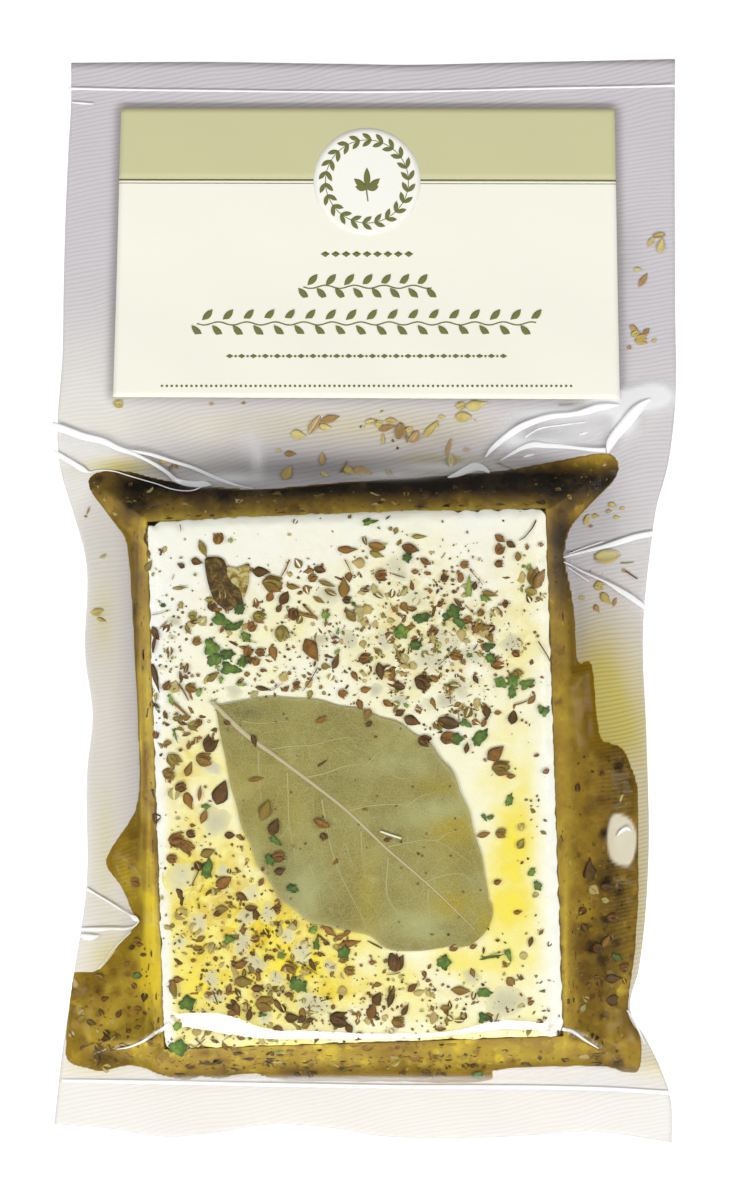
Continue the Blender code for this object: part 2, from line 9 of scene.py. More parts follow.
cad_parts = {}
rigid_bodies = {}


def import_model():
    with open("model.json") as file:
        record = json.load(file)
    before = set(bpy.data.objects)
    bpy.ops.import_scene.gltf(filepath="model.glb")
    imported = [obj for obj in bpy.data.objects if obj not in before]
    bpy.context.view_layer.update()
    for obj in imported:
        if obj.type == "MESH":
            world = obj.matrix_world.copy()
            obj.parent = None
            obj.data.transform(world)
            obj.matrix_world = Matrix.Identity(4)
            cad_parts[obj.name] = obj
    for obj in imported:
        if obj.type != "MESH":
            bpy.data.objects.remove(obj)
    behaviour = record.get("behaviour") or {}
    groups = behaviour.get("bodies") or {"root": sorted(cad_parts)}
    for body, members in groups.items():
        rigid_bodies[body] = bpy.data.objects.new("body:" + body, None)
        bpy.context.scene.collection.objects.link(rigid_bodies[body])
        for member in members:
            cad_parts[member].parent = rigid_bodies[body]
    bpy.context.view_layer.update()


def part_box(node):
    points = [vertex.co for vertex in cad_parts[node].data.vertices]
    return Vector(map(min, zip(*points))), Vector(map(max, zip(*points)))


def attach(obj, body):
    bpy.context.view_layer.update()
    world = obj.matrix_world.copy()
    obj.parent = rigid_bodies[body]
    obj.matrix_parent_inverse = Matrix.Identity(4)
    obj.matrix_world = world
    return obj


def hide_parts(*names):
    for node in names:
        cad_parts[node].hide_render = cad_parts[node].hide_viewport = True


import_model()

mm = 0.001  # sizes below are in millimetres, meshes in metres
pouchLow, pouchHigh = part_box("feta_pouch")
photo = {"scale": 0.208, "middle": (365.25, 600.5)}  # millimetres in a photo pixel, pixel at the origin
print("frame loaded")


def fromPhoto(x, y):
    return (x - photo["middle"][0]) * photo["scale"], (photo["middle"][1] - y) * photo["scale"]


def toPhoto(x, y):
    return x / photo["scale"] + photo["middle"][0], photo["middle"][1] - y / photo["scale"]


# the pouch's own form, the same named sizes as the solid it replaces

form = {
    "blockWidth": 83.0, "blockLength": 109.5, "blockCentre": (-2.1, -36.9), "blockTurn": math.radians(1.9),
    "topHeight": 19.6, "edgeRound": 3.2, "edgeDrop": 1.5, "crown": 0.5,
    "reachLeft": 4.6, "reachRight": 5.2, "reachTop": 8.4, "reachBottom": 7.8, "wallPower": 1.45,
    "marginThick": 0.8, "underRound": 3.0, "underRise": 2.8, "underRiseReach": 6.0,
    "fallStart": 14.0, "fallReach": 42.0, "waveHeight": 0.45, "waveLength": 31.0,
    "poolDepth": 2.6, "poolReach": 6.0, "topSealIn": 6.2, "bottomSealIn": 9.8,
}
leftEdge = [(-109.6, -65.1), (-96.5, -63.6), (-80.0, -61.2), (-60.0, -58.3), (-35.0, -58.1),
            (-24.0, -57.0), (-12.5, -58.5), (10.0, -58.7), (18.8, -61.2), (25.5, -63.3),
            (54.0, -63.3), (77.0, -62.9), (93.5, -62.2), (105.0, -61.6), (112.6, -61.6)]
rightEdge = [(-113.4, 64.2), (-104.0, 63.8), (-92.2, 59.0), (-86.0, 55.5), (-77.0, 57.2),
             (-54.0, 59.2), (-29.0, 58.8), (-5.0, 58.1), (10.5, 59.6), (20.0, 61.0),
             (27.0, 63.0), (38.0, 64.6), (62.5, 64.9), (96.0, 64.8), (113.4, 64.9)]
bottomEdge = [(-65.1, -109.6), (-55.0, -110.3), (-40.6, -112.2), (-28.0, -110.8), (-20.9, -109.7),
              (-7.3, -110.3), (3.1, -112.0), (11.4, -112.5), (36.0, -111.8), (46.7, -111.1),
              (64.2, -113.4)]
topEdge = [(-61.6, 112.6), (-40.6, 112.8), (-5.2, 112.4), (7.2, 112.2), (28.0, 112.6), (64.9, 113.4)]
oilOutline = [(-57.9, 24.6), (-57.0, 26.2), (-54.5, 27.0), (-49.7, 26.9), (-42.8, 25.2), (-33.0, 23.6),
              (-21.9, 23.0), (-5.3, 24.4), (23.9, 26.5), (36.2, 28.3), (46.0, 30.2),
              (50.1, 30.7), (52.3, 29.7), (52.9, 27.5), (51.8, 25.2), (49.6, 22.9),
              (45.9, 19.2), (42.6, 14.9), (41.3, 8.8),
              (43.6, -2.0), (44.3, -12.4), (47.2, -13.1), (48.1, -20.7), (49.1, -28.4), (51.4, -29.9), (54.0, -31.4),
              (56.8, -38.6), (57.0, -45.5), (57.1, -58.1), (56.5, -72.0), (54.9, -85.6), (57.5, -91.2),
              (57.2, -98.1), (54.0, -98.5), (48.8, -97.2), (28.0, -97.9), (23.9, -100.6), (-9.4, -100.4),
              (-15.9, -100.4), (-20.0, -99.6), (-22.5, -98.6), (-26.5, -98.8), (-30.4, -99.8),
              (-34.2, -99.2), (-37.3, -100.1), (-41.4, -99.2), (-48.9, -97.2), (-54.5, -98.3),
              (-58.3, -97.8), (-61.9, -96.4), (-62.6, -93.6), (-62.0, -86.0), (-61.3, -79.9),
              (-60.6, -77.7), (-55.4, -77.0), (-51.5, -72.0), (-47.5, -67.2), (-48.8, -64.7),
              (-50.7, -60.2), (-54.0, -55.5), (-53.1, -51.9), (-47.3, -41.5), (-47.3, -24.9), (-48.9, 4.3),
              (-50.1, 12.6), (-52.1, 15.8), (-54.5, 19.3), (-56.9, 22.4)]
ears = [(-43.5, 15.5, 18.0, -57.0, 24.6, 6.0), (37.5, 18.5, 18.0, 52.5, 28.6, 6.5),
        (39.5, -90.0, 17.0, 56.0, -96.5, 6.0), (-40.5, -91.0, 16.0, -60.5, -92.5, 7.0)]
leafForm = {
    "stalk": (-30.6, -22.0), "tip": (25.7, -70.0),
    "outer": [(0.0, 0.4), (0.07, 6.8), (0.15, 12.0), (0.25, 16.6), (0.36, 20.5), (0.48, 22.6),
              (0.60, 21.6), (0.77, 15.0), (0.92, 6.6), (1.0, 0.3)],
    "inner": [(0.0, 0.4), (0.11, 7.0), (0.25, 14.5), (0.39, 19.7), (0.51, 21.8), (0.62, 20.3),
              (0.72, 16.2), (0.83, 14.0), (0.92, 7.2), (1.0, 0.3)],
}


def smoothStep(share):
    share = np.clip(share, 0.0, 1.0)
    return share * share * (3.0 - 2.0 * share)


def smoothThrough(points, at):
    places = np.array([point[0] for point in points], float)
    values = np.array([point[1] for point in points], float)
    slopes = np.gradient(values, places)
    at = np.clip(at, places[0], places[-1])
    left = np.clip(np.searchsorted(places, at, side="right") - 1, 0, len(places) - 2)
    step = places[left + 1] - places[left]
    t = (at - places[left]) / step
    start = (2 * t ** 3 - 3 * t ** 2 + 1) * values[left] + (t ** 3 - 2 * t ** 2 + t) * step * slopes[left]
    end = (3 * t ** 2 - 2 * t ** 3) * values[left + 1] + (t ** 3 - t ** 2) * step * slopes[left + 1]
    return start + end


def toBlock(x, y):
    right, up = x - form["blockCentre"][0], y - form["blockCentre"][1]
    cos, sin = math.cos(form["blockTurn"]), math.sin(form["blockTurn"])
    return right * cos + up * sin, up * cos - right * sin


def fromBlock(across, along):
    cos, sin = math.cos(form["blockTurn"]), math.sin(form["blockTurn"])
    x = form["blockCentre"][0] + across * cos - along * sin
    return x, form["blockCentre"][1] + across * sin + along * cos


def blockSideX(side, y):
    cos, sin = math.cos(form["blockTurn"]), math.sin(form["blockTurn"])
    half = side * form["blockWidth"] / 2
    along = (y - form["blockCentre"][1] - half * sin) / cos
    return form["blockCentre"][0] + half * cos - along * sin


def blockEndY(end, x):
    cos, sin = math.cos(form["blockTurn"]), math.sin(form["blockTurn"])
    half = end * form["blockLength"] / 2
    across = (x - form["blockCentre"][0] + half * sin) / cos
    return form["blockCentre"][1] + half * cos + across * sin


def wallShare(x, y):  # 0 on the block's outline, 1 at the margin, and how far inside the outline
    across, along = toBlock(x, y)
    overX = np.abs(across) - form["blockWidth"] / 2
    overY = np.abs(along) - form["blockLength"] / 2
    reachX = np.where(across < 0, form["reachLeft"], form["reachRight"])
    reachY = np.where(along < 0, form["reachBottom"], form["reachTop"])
    outside = np.hypot(np.maximum(overX, 0) / reachX, np.maximum(overY, 0) / reachY)
    return outside, np.minimum(np.maximum(overX, overY), 0.0)


def gapToBlock(x, y):
    across, along = toBlock(x, y)
    return np.hypot(np.maximum(np.abs(across) - form["blockWidth"] / 2, 0),
                    np.maximum(np.abs(along) - form["blockLength"] / 2, 0))


def underside(x, y):
    inside = wallShare(x, y)[1]
    gap = gapToBlock(x, y)
    lift = form["underRise"] * smoothStep((gap + form["underRound"] + inside) / form["underRiseReach"])
    lift = np.where(inside < -form["underRound"], 0.0, lift)
    fall = 1.0 - smoothStep((gap - form["fallStart"]) / form["fallReach"])
    length = form["waveLength"]
    wave = np.sin(2 * math.pi * (x + 0.6 * y) / length) * np.sin(2 * math.pi * y / (1.7 * length))
    wave = form["waveHeight"] * (0.5 + 0.5 * wave) * smoothStep((gap - 2.0) / 12.0)
    return lift * fall + wave * (0.35 + 0.65 * fall)


def depthInside(x, y, outline):  # distance from a closed outline, positive inside it
    inside = np.zeros(np.shape(x), bool)
    nearest = np.full(np.shape(x), 1e6)
    for (ax, ay), (bx, by) in zip(outline, outline[1:] + outline[:1]):
        along = ((x - ax) * (bx - ax) + (y - ay) * (by - ay)) / ((bx - ax) ** 2 + (by - ay) ** 2)
        along = np.clip(along, 0.0, 1.0)
        nearest = np.minimum(nearest, np.hypot(x - ax - along * (bx - ax), y - ay - along * (by - ay)))
        if ay != by:
            inside ^= ((ay > y) != (by > y)) & (x < ax + (y - ay) * (bx - ax) / (by - ay))
    return np.where(inside, nearest, -nearest)


def roundedOutline(points, steps=6):  # a closed smooth curve through the points
    count = len(points)
    made = []
    for index in range(count):
        p0, p1, p2, p3 = (np.array(points[(index + k) % count], float) for k in (-1, 0, 1, 2))
        for step in range(steps):
            t = step / steps
            place = 0.5 * (2 * p1 + (p2 - p0) * t + (2 * p0 - 5 * p1 + 4 * p2 - p3) * t * t
                           + (3 * p1 - p0 - 3 * p2 + p3) * t ** 3)
            made.append((float(place[0]), float(place[1])))
    return made


def smoothRoute(points, spacing):  # an open smooth curve through rows of numbers, evenly spaced
    rows = np.array(points, float)
    walked = np.concatenate([[0.0], np.cumsum(np.hypot(*np.diff(rows[:, :2], axis=0).T))])
    at = np.linspace(0.0, walked[-1], max(4, int(walked[-1] / spacing) + 1))
    return np.column_stack([smoothThrough(list(zip(walked, rows[:, k])), at) for k in range(rows.shape[1])])


def alongLine(x, y, line):
    ax, ay, bx, by = line
    length = math.hypot(bx - ax, by - ay)
    share = ((x - ax) * (bx - ax) + (y - ay) * (by - ay)) / length ** 2
    held = np.clip(share, 0.0, 1.0)
    return share, np.hypot(x - ax - held * (bx - ax), y - ay - held * (by - ay))


def ripple(x, y, length, seed, waves=7):  # soft uneven waves between about -1 and 1
    draw = random.Random(seed)
    total = np.zeros(np.shape(x))
    for _ in range(waves):
        turn, start = draw.uniform(0, 2 * math.pi), draw.uniform(0, 2 * math.pi)
        size = length * draw.uniform(0.6, 1.6)
        total += np.sin(2 * math.pi * (x * math.cos(turn) + y * math.sin(turn)) / size + start)
    return total / math.sqrt(waves) / 1.2


def zoneSum(x, y, zones):  # soft oval patches: photo x, photo y, reach x, reach y, amount
    px, py = toPhoto(x, y)
    total = np.zeros(np.shape(x))
    for cx, cy, reachX, reachY, amount in zones:
        total += amount * np.exp(-1.2 * (((px - cx) / reachX) ** 2 + ((py - cy) / reachY) ** 2))
    return total


smoothOil = roundedOutline(oilOutline)


# studio: soft boxes, pale floor and the camera over the table

studio = {
    "frameHeight": 249.6, "lens": 200.0, "aim": (1.2, 0.1), "planeHeight": 10.0, "floorHalf": 3.0,
    "boxPlace": (0.0, -0.51, 0.61), "boxWide": 2.0, "boxHigh": 0.2, "boxPower": 8.2,
    "sidePlace": (0.78, 0.1, 0.6), "sideWide": 0.3, "sideHigh": 0.5, "sidePower": 2.9,
    "air": 0.2, "floorGlow": 0.35,
}


def makeLight(name, place, sizeX, sizeY, power):
    data = bpy.data.lights.new(name, "AREA")
    data.shape, data.size, data.size_y = "RECTANGLE", sizeX, sizeY
    data.energy = power
    made = bpy.data.objects.new(name, data)
    bpy.context.scene.collection.objects.link(made)
    made.location = place
    made.rotation_euler = (-Vector(place)).to_track_quat("-Z", "Y").to_euler()


def makeStudio():
    makeLight("nearBox", studio["boxPlace"], studio["boxWide"], studio["boxHigh"], studio["boxPower"])
    for side in (-1, 1):
        x, y, z = studio["sidePlace"]
        makeLight("sideBox", (side * x, y, z), studio["sideWide"], studio["sideHigh"], studio["sidePower"])
    world = bpy.data.worlds.new("studioAir")
    world.use_nodes = True
    world.node_tree.nodes["Background"].inputs["Color"].default_value = (1.0, 1.0, 1.0, 1.0)
    world.node_tree.nodes["Background"].inputs["Strength"].default_value = studio["air"]
    bpy.context.scene.world = world
    lens = bpy.data.cameras.new("camera")
    lens.lens, lens.sensor_width, lens.clip_end = studio["lens"], 36.0, 50.0
    camera = bpy.data.objects.new("camera", lens)
    bpy.context.scene.collection.objects.link(camera)
    reach = studio["frameHeight"] * mm * studio["lens"] / lens.sensor_width
    aimX, aimY = studio["aim"]
    camera.location = (aimX * mm, aimY * mm, studio["planeHeight"] * mm + reach)
    bpy.context.scene.camera = camera
    bpy.context.scene.view_settings.view_transform = "Standard"


def gleamSlope(x, y, downX, downY):  # slope of a facet, falling that way, that mirrors the near box to the camera
    aimX, aimY = studio["aim"]
    level = 0.015
    viewX, viewY = (aimX - x) * mm, (aimY - y) * mm
    viewZ = studio["planeHeight"] * mm + studio["frameHeight"] * mm * studio["lens"] / 36.0 - level
    wanted = (studio["boxPlace"][1] - y * mm) / (studio["boxPlace"][2] - level)
    low, high = np.full(np.shape(x), 0.02), np.full(np.shape(x), 0.62)
    for _ in range(18):
        tilt = (low + high) / 2
        normalX, normalY, normalZ = downX * np.sin(tilt), downY * np.sin(tilt), np.cos(tilt)
        facing = normalX * viewX + normalY * viewY + normalZ * viewZ
        steep = (2 * facing * normalY - viewY) / (2 * facing * normalZ - viewZ) < wanted
        low, high = np.where(steep, low, tilt), np.where(steep, tilt, high)
    return np.tan(np.minimum((low + high) / 2, 0.52))


makeStudio()
print("studio made")


# film: folds and creases finer than the solid, drawn along the gleams that they throw

filmSizes = {
    "thick": 0.1, "lift": 0.75, "liftReach": 3.5, "edgeDrop": 0.9, "bumps": 0.13, "bumpLength": 5.5,
    "leafRise": 0.3, "marginGap": 0.42, "wallRipple": 0.14,
    "left": 34, "across": 100, "right": 44, "bottom": 34, "along": 134, "top": 108,
}
ribbon = {"blend": 3.4, "nearer": 3.0, "route": [  # photo x, photo y, width in pixels of the side that gleams
    (118, 1050, 1), (150, 1038, 2), (165, 1027, 5), (178, 1021, 14), (200, 1020.5, 20), (236, 1026, 21),
    (250, 1030, 17), (272, 1034, 12), (303, 1034.5, 10), (360, 1036, 7.5), (398, 1035.7, 5.5), (436, 1034.6, 5),
    (463, 1031.2, 5.7), (482, 1027.4, 9.6), (500, 1024.5, 11), (522, 1025, 10.5), (544, 1027, 9),
    (563, 1032, 5.5), (580, 1037, 4), (600, 1050.7, 1)]}
creaseRoutes = {  # photo x, photo y, width in pixels
    "upperLeft": [(50, 424.5, 8), (59.7, 427.5, 8), (81.8, 435.5, 7.5), (104.6, 441.5, 6.5), (116.6, 447.5, 5.5),
                  (127, 451, 4.5), (143.4, 458.3, 3.2), (156.8, 465.6, 3.6), (167.5, 473, 3.8), (174.2, 479, 4.6),
                  (183.6, 482.4, 5.6), (194.3, 483.7, 6), (205, 483.7, 5.4), (211, 484.4, 0.6)],
    "upperLeftHigh": [(127.3, 449.6, 2.4), (148.7, 453.6, 3.4), (170.2, 460.3, 3.4), (191.6, 467, 3.4),
                      (213, 476.3, 3.4), (229, 482.4, 2.6), (239.8, 485.7, 1.4), (253.2, 488.4, 0.6)],
    "earLine": [(52, 451, 5), (59.7, 455.5, 5.4), (72.4, 463, 5.4), (81.8, 469, 5.6), (88, 471.5, 1.6),
                (96, 470, 1.2), (112.6, 470.7, 1.1), (127.3, 475, 1.1), (140.7, 479, 1.1), (156.8, 483.7, 1.1),
                (170.2, 488.4, 1.1), (182.2, 490.4, 1.1), (194.3, 489.5, 1.2), (201, 486.4, 1)],
    "rightFoldHigh": [(485.9, 456.5, 1), (492, 449, 4.4), (504.3, 438.2, 6), (519.6, 427.5, 7), (534.9, 420.6, 6.4),
                      (550.2, 416, 5.6), (570, 413.7, 4.6), (577.8, 412.6, 5), (587, 410.6, 7), (599, 406.6, 7),
                      (611.4, 405, 5), (621, 404, 1)],
    "rightFoldInner": [(525.7, 436.6, 1.2), (538, 429, 1.3), (562.5, 424.4, 1.3), (587, 421.3, 1.1)],
    "rightFoldTurn": [(609, 452.5, 1), (610.5, 445.8, 7), (614, 438.2, 9.5), (619.6, 431, 10.5), (627.2, 422, 11),
                      (635.4, 412, 11), (643.6, 404, 8), (652, 398, 2)],
    "rightFoldLow": [(501.2, 459.6, 0.6), (511.9, 453.5, 2.6), (522.7, 447.4, 4.4), (533.4, 444.3, 6.2),
                     (547, 445, 5.2), (562.5, 445.8, 4.4), (577.8, 447.4, 3.4), (593, 449, 4.2), (606.8, 449.5, 5)],
    "middleFold": [(448, 477, 1.5), (456, 474.5, 4.5), (466, 470, 7.5), (476, 466.5, 9), (484, 468, 6), (490, 472, 2)],
    "spark": [(580, 434, 0.8), (584.6, 432.8, 2.2), (589, 431, 0.8)],
    "sparkLow": [(524, 456.5, 0.8), (529.5, 455, 2.0), (535, 454, 0.8)],
    "rightUpper": [(563.7, 557.5, 1), (573, 554.6, 2.4), (586.7, 551, 2.6), (604, 546.6, 4.2), (621.2, 541.4, 5.8),
                   (636, 536.8, 6), (655, 532.8, 5.6)],
    "rightUpperThin": [(570, 553.4, 1), (586, 547.4, 1.1), (604, 541.4, 1)],
    "rightLower": [(564.3, 562, 1), (573, 565.5, 1.2), (583.3, 571.3, 1.8), (594.8, 576.4, 2.2), (608.6, 582.8, 2.6),
                   (620, 589.7, 5), (632.7, 597.7, 6), (647, 608, 5)],
    "rightLowerThin": [(569.5, 567.5, 1), (580, 574.5, 1.1), (590.2, 581.3, 0.9)],
    "leftUpper": [(85.4, 890, 3.2), (93.4, 894.9, 2.4), (105, 901.6, 1.9), (117.5, 909.6, 1.9), (129, 916.6, 1.6),
                  (134, 920, 5.5), (138, 923, 2)],
    "leftLower": [(76, 930.6, 2.6), (95.2, 931, 4.4), (113, 930.2, 2.8), (125, 930.4, 2.6), (133, 928, 1.8),
                  (138.5, 922.5, 1)],
    "leftBroad": [(79, 937, 4), (86, 938.5, 6.5), (93, 938.5, 5), (98, 937, 1)],
    "poolLine": [(97, 971, 0.9), (104, 962.3, 1), (112, 950.7, 1), (122, 941, 1), (130, 933.6, 1)],
    "topSealLine": [(66, 85.2, 2.6), (130, 86.4, 2), (200, 87.2, 2.2), (290, 88.2, 1.8), (380, 88.6, 2.2),
                    (470, 87, 1.8), (540, 85.2, 2.2), (620, 83.6, 2), (677, 82.2, 2.6)],
    "topSealShort": [(70, 99, 1.4), (82, 100, 2), (92, 100.6, 1)],
    "bottomSealLine": [(60, 1083, 3), (120, 1084, 4), (200, 1085.5, 3.6), (300, 1087.5, 4), (400, 1089, 3.6),
                       (480, 1089.5, 4.4), (560, 1090, 4), (620, 1092, 4), (672, 1095.5, 4.4)],
    "lowRight": [(628, 1012, 1), (634, 1020, 2.2), (640, 1032, 1.8), (646, 1046, 1)],
    "ribbonTail": [(116, 1050.5, 0.8), (129, 1047.5, 1.8), (141, 1042, 2.2), (152, 1035, 2.8), (162, 1028, 3.6),
                   (171, 1020, 2)],
    "ribbonTailRight": [(561, 1026, 3.4), (572, 1031, 3), (584, 1039.5, 2.2), (599, 1049, 0.8)],
    "bubbleSpark": [(618, 837, 0.8), (622, 832, 3.2), (628, 829.5, 3.4), (632, 832, 0.8)],
}
paintedSheenZones = [  # painted highlight, partly whitening of folded film: soft white glow where the film folds: photo x, photo y, reach x, reach y, amount
    (636, 399, 30, 10, 1.8), (655, 393, 18, 11, 1.6), (608, 404, 22, 8, 1.2), (626, 418, 14, 18, 0.9),
    (560, 413, 44, 7, 0.8), (512, 436, 14, 14, 0.5), (440, 466, 50, 5, 0.5), (385, 475, 40, 4, 0.4),
    (540, 442, 40, 7, 0.5), (232, 478, 30, 6, 0.5),
    (560, 423, 50, 14, 0.28), (590, 432, 26, 12, 0.2), (90, 445, 40, 12, 0.22),
    (247, 440, 10, 16, 0.2), (257, 458, 7, 20, 0.36), (84, 938, 9, 3.5, 0.5), (626, 548, 26, 7, 0.2),
    (640, 603, 10, 10, 0.3), (75, 436, 22, 7, 0.2), (200, 484, 12, 3, 0.3), (66, 460, 12, 5, 0.2),
    (460, 452, 24, 8, 0.16), (330, 1082, 250, 3, 0.35), (600, 1082, 60, 8, 0.2)]
mounds = [  # slack film standing off the back: x, y, height, reach x, reach y, turn in degrees
    (40.0, 34.0, 1.2, 15.0, 5.5, 24.0), (55.0, 38.0, 0.8, 7.0, 6.0, 45.0), (-48.0, 31.0, 0.7, 12.0, 4.0, -22.0),
    (-52.5, -66.0, 0.5, 5.0, 4.0, 0.0), (50.5, 6.0, 0.5, 7.0, 5.0, 0.0),
]


def leafPlace(x, y):  # share along the bay leaf, share across it and distance outside it
    (sx, sy), (tx, ty) = leafForm["stalk"], leafForm["tip"]
    length = math.hypot(tx - sx, ty - sy)
    ux, uy = (tx - sx) / length, (ty - sy) / length
    share = ((x - sx) * ux + (y - sy) * uy) / length
    off = (y - sy) * ux - (x - sx) * uy
    held = np.clip(share, 0.0, 1.0)
    width = np.where(off > 0, smoothThrough(leafForm["outer"], held), smoothThrough(leafForm["inner"], held))
    beyond = np.maximum(np.maximum(-share, share - 1.0), 0.0) * length
    return share, off / width, np.maximum(np.abs(off) - width, beyond)


def plainFilm(x, y):  # the film's height before the ribbon of light along the block's lower edge
    margin = underside(x, y) + filmSizes["marginGap"]
    outside, inside = wallShare(x, y)
    across, along = toBlock(x, y)
    crown = form["crown"] * (1 - (2 * across / form["blockWidth"]) ** 2)
    crown = crown * (1 - (2 * along / form["blockLength"]) ** 2)
    rounding = filmSizes["edgeDrop"] * np.clip(1.0 + inside / form["edgeRound"], 0.0, 1.0) ** 2
    onFace = smoothStep(-inside / filmSizes["liftReach"])
    bumps = filmSizes["bumps"] * ripple(x, y, filmSizes["bumpLength"], 3) * onFace
    leafBump = filmSizes["leafRise"] * smoothStep(1.0 - leafPlace(x, y)[2] / 2.5) * onFace
    face = form["topHeight"] + np.maximum(crown, 0.0) - rounding + filmSizes["lift"] * onFace + bumps + leafBump
    edge = form["topHeight"] - filmSizes["edgeDrop"]
    wall = margin + (edge - margin) * np.clip(1.0 - outside, 0.0, 1.0) ** form["wallPower"]
    height = np.where(outside > 0.0, wall, face)
    depth = depthInside(x, y, smoothOil)
    pool = margin + form["poolDepth"] * smoothStep(np.maximum(depth, 0.0) / form["poolReach"])
    height = np.maximum(height, pool)
    for innerX, innerY, top, outerX, outerY, width in ears:
        share, off = alongLine(x, y, (innerX, innerY, outerX, outerY))
        held = np.clip(share, 0.0, 1.0)
        ridge = (top - margin) * (1.0 - held) ** 1.2 + 1.0 * (1.0 - held)
        spread = width * (1.0 - 0.55 * held)
        height = np.maximum(height, margin + ridge * np.clip(1.0 - off / spread, 0.0, 1.0))
    away = smoothStep(outside * 2.0)
    height = height + filmSizes["wallRipple"] * ripple(x, y, 4.5, 8) * away * smoothStep(depth / 3.0 + 0.4)
    for mx, my, rise, reachX, reachY, turn in mounds:
        cos, sin = math.cos(math.radians(turn)), math.sin(math.radians(turn))
        right = ((x - mx) * cos + (y - my) * sin) / reachX
        up = ((y - my) * cos - (x - mx) * sin) / reachY
        height = height + rise * np.exp(-(right ** 2 + up ** 2) * 1.3) * away
    return height


def routeRows(route, spacing):  # places, widths, unit way up and the slope that gleams, evenly along a route
    rows = smoothRoute([(*fromPhoto(px, py), width * photo["scale"]) for px, py, width in route], spacing)
    dx, dy = np.gradient(rows[:, 0]), np.gradient(rows[:, 1])
    length = np.hypot(dx, dy)
    upX, upY = -dy / length, dx / length
    return rows[:, 0], rows[:, 1], np.maximum(rows[:, 2], 0.1), upX, upY, gleamSlope(rows[:, 0], rows[:, 1], -upX, -upY)


def filmTop(x, y):  # height of the front film and how strongly it gleams
    height = plainFilm(x, y)
    seen = [(px, py - ribbon["nearer"], wide) for px, py, wide in ribbon["route"]]  # the block's top is nearer
    rx, ry, width, upX, upY, slope = routeRows(seen, 0.6)
    middle = np.convolve(np.pad(plainFilm(rx, ry), 6, mode="edge"), np.ones(13) / 13, mode="valid")
    best = np.full(np.shape(x), 1e6)
    value, weight, gleam = height.copy(), np.zeros(np.shape(x)), np.zeros(np.shape(x))
    for k in range(len(rx)):
        gap = np.hypot(x - rx[k], y - ry[k])
        signed = (x - rx[k]) * upX[k] + (y - ry[k]) * upY[k]
        half = width[k] / 2
        nearer = gap < best
        blend = ribbon["blend"] * min(1.0, 0.25 + half)
        plane = middle[k] + slope[k] * np.clip(signed, -half, half)
        value = np.where(nearer, plane, value)
        weight = np.where(nearer, (1.0 - smoothStep((np.abs(signed) - half) / blend)) * min(1.0, half / 0.5), weight)
        gleam = np.where(nearer, smoothStep((half - np.abs(signed)) / 0.25 + 0.6), gleam)
        best = np.where(nearer, gap, best)
    ends = 1.0 - smoothStep((best - 6.0) / 1.0)
    height = height * (1.0 - weight * ends) + value * weight * ends
    return height, gleam * ends


# meshes

def packedShares(count, denseStart, denseEnd):  # shares from 0 to 1, closer together at the dense ends
    t = np.linspace(0.0, 1.0, count + 1)
    if denseStart and denseEnd:
        return 0.45 * t + 0.55 * (0.5 - 0.5 * np.cos(math.pi * t))
    if denseStart:
        return 0.42 * t + 0.58 * t ** 2.4
    return t


def pouchGrid(leftCount, acrossCount, rightCount, bottomCount, alongCount, topCount):
    columns = [("left", s) for s in np.linspace(1, 0, leftCount + 1)[:-1]]
    columns += [("block", s) for s in packedShares(acrossCount, True, True)]
    columns += [("right", s) for s in np.linspace(0, 1, rightCount + 1)[1:]]
    rows = [("bottom", s) for s in np.linspace(1, 0, bottomCount + 1)[:-1]]
    rows += [("block", s) for s in packedShares(alongCount, True, True)]
    rows += [("top", s) for s in packedShares(topCount, True, False)[1:]]
    xs = np.zeros((len(rows), len(columns)))
    ys = np.zeros_like(xs)
    for _ in range(6):
        for number, (zone, share) in enumerate(rows):
            x = xs[number]
            low, high = blockEndY(-1, x), blockEndY(1, x)
            if zone == "bottom":
                ys[number] = low + (smoothThrough(bottomEdge, x) - low) * share
            elif zone == "top":
                ys[number] = high + (smoothThrough(topEdge, x) - high) * share
            else:
                ys[number] = low + (high - low) * share
        for number, (zone, share) in enumerate(columns):
            y = ys[:, number]
            low, high = blockSideX(-1, y), blockSideX(1, y)
            if zone == "left":
                xs[:, number] = low + (smoothThrough(leftEdge, y) - low) * share
            elif zone == "right":
                xs[:, number] = high + (smoothThrough(rightEdge, y) - high) * share
            else:
                xs[:, number] = low + (high - low) * share
    return xs, ys


def newMesh(name, points, faces, attributes=None):
    mesh = bpy.data.meshes.new(name)
    mesh.from_pydata([tuple(point) for point in np.asarray(points, float) * mm], [], faces)
    for key, values in (attributes or {}).items():
        layer = mesh.attributes.new(key, "FLOAT", "POINT")
        layer.data.foreach_set("value", np.asarray(values, np.float32))
    corners = np.asarray(points, float)
    volume = 0.0
    for face in faces:
        a, b, c = corners[face[0]], corners[face[1]], corners[face[2]]
        volume += float(np.dot(a, np.cross(b, c)))
        if len(face) == 4:
            volume += float(np.dot(a, np.cross(c, corners[face[3]])))
    if volume < 0.0:
        mesh.flip_normals()
    mesh.shade_smooth()
    return mesh


def newPiece(name, mesh, material):
    made = bpy.data.objects.new(name, mesh)
    bpy.context.scene.collection.objects.link(made)
    if material is not None:
        mesh.materials.clear()
        mesh.materials.append(material)
    return made


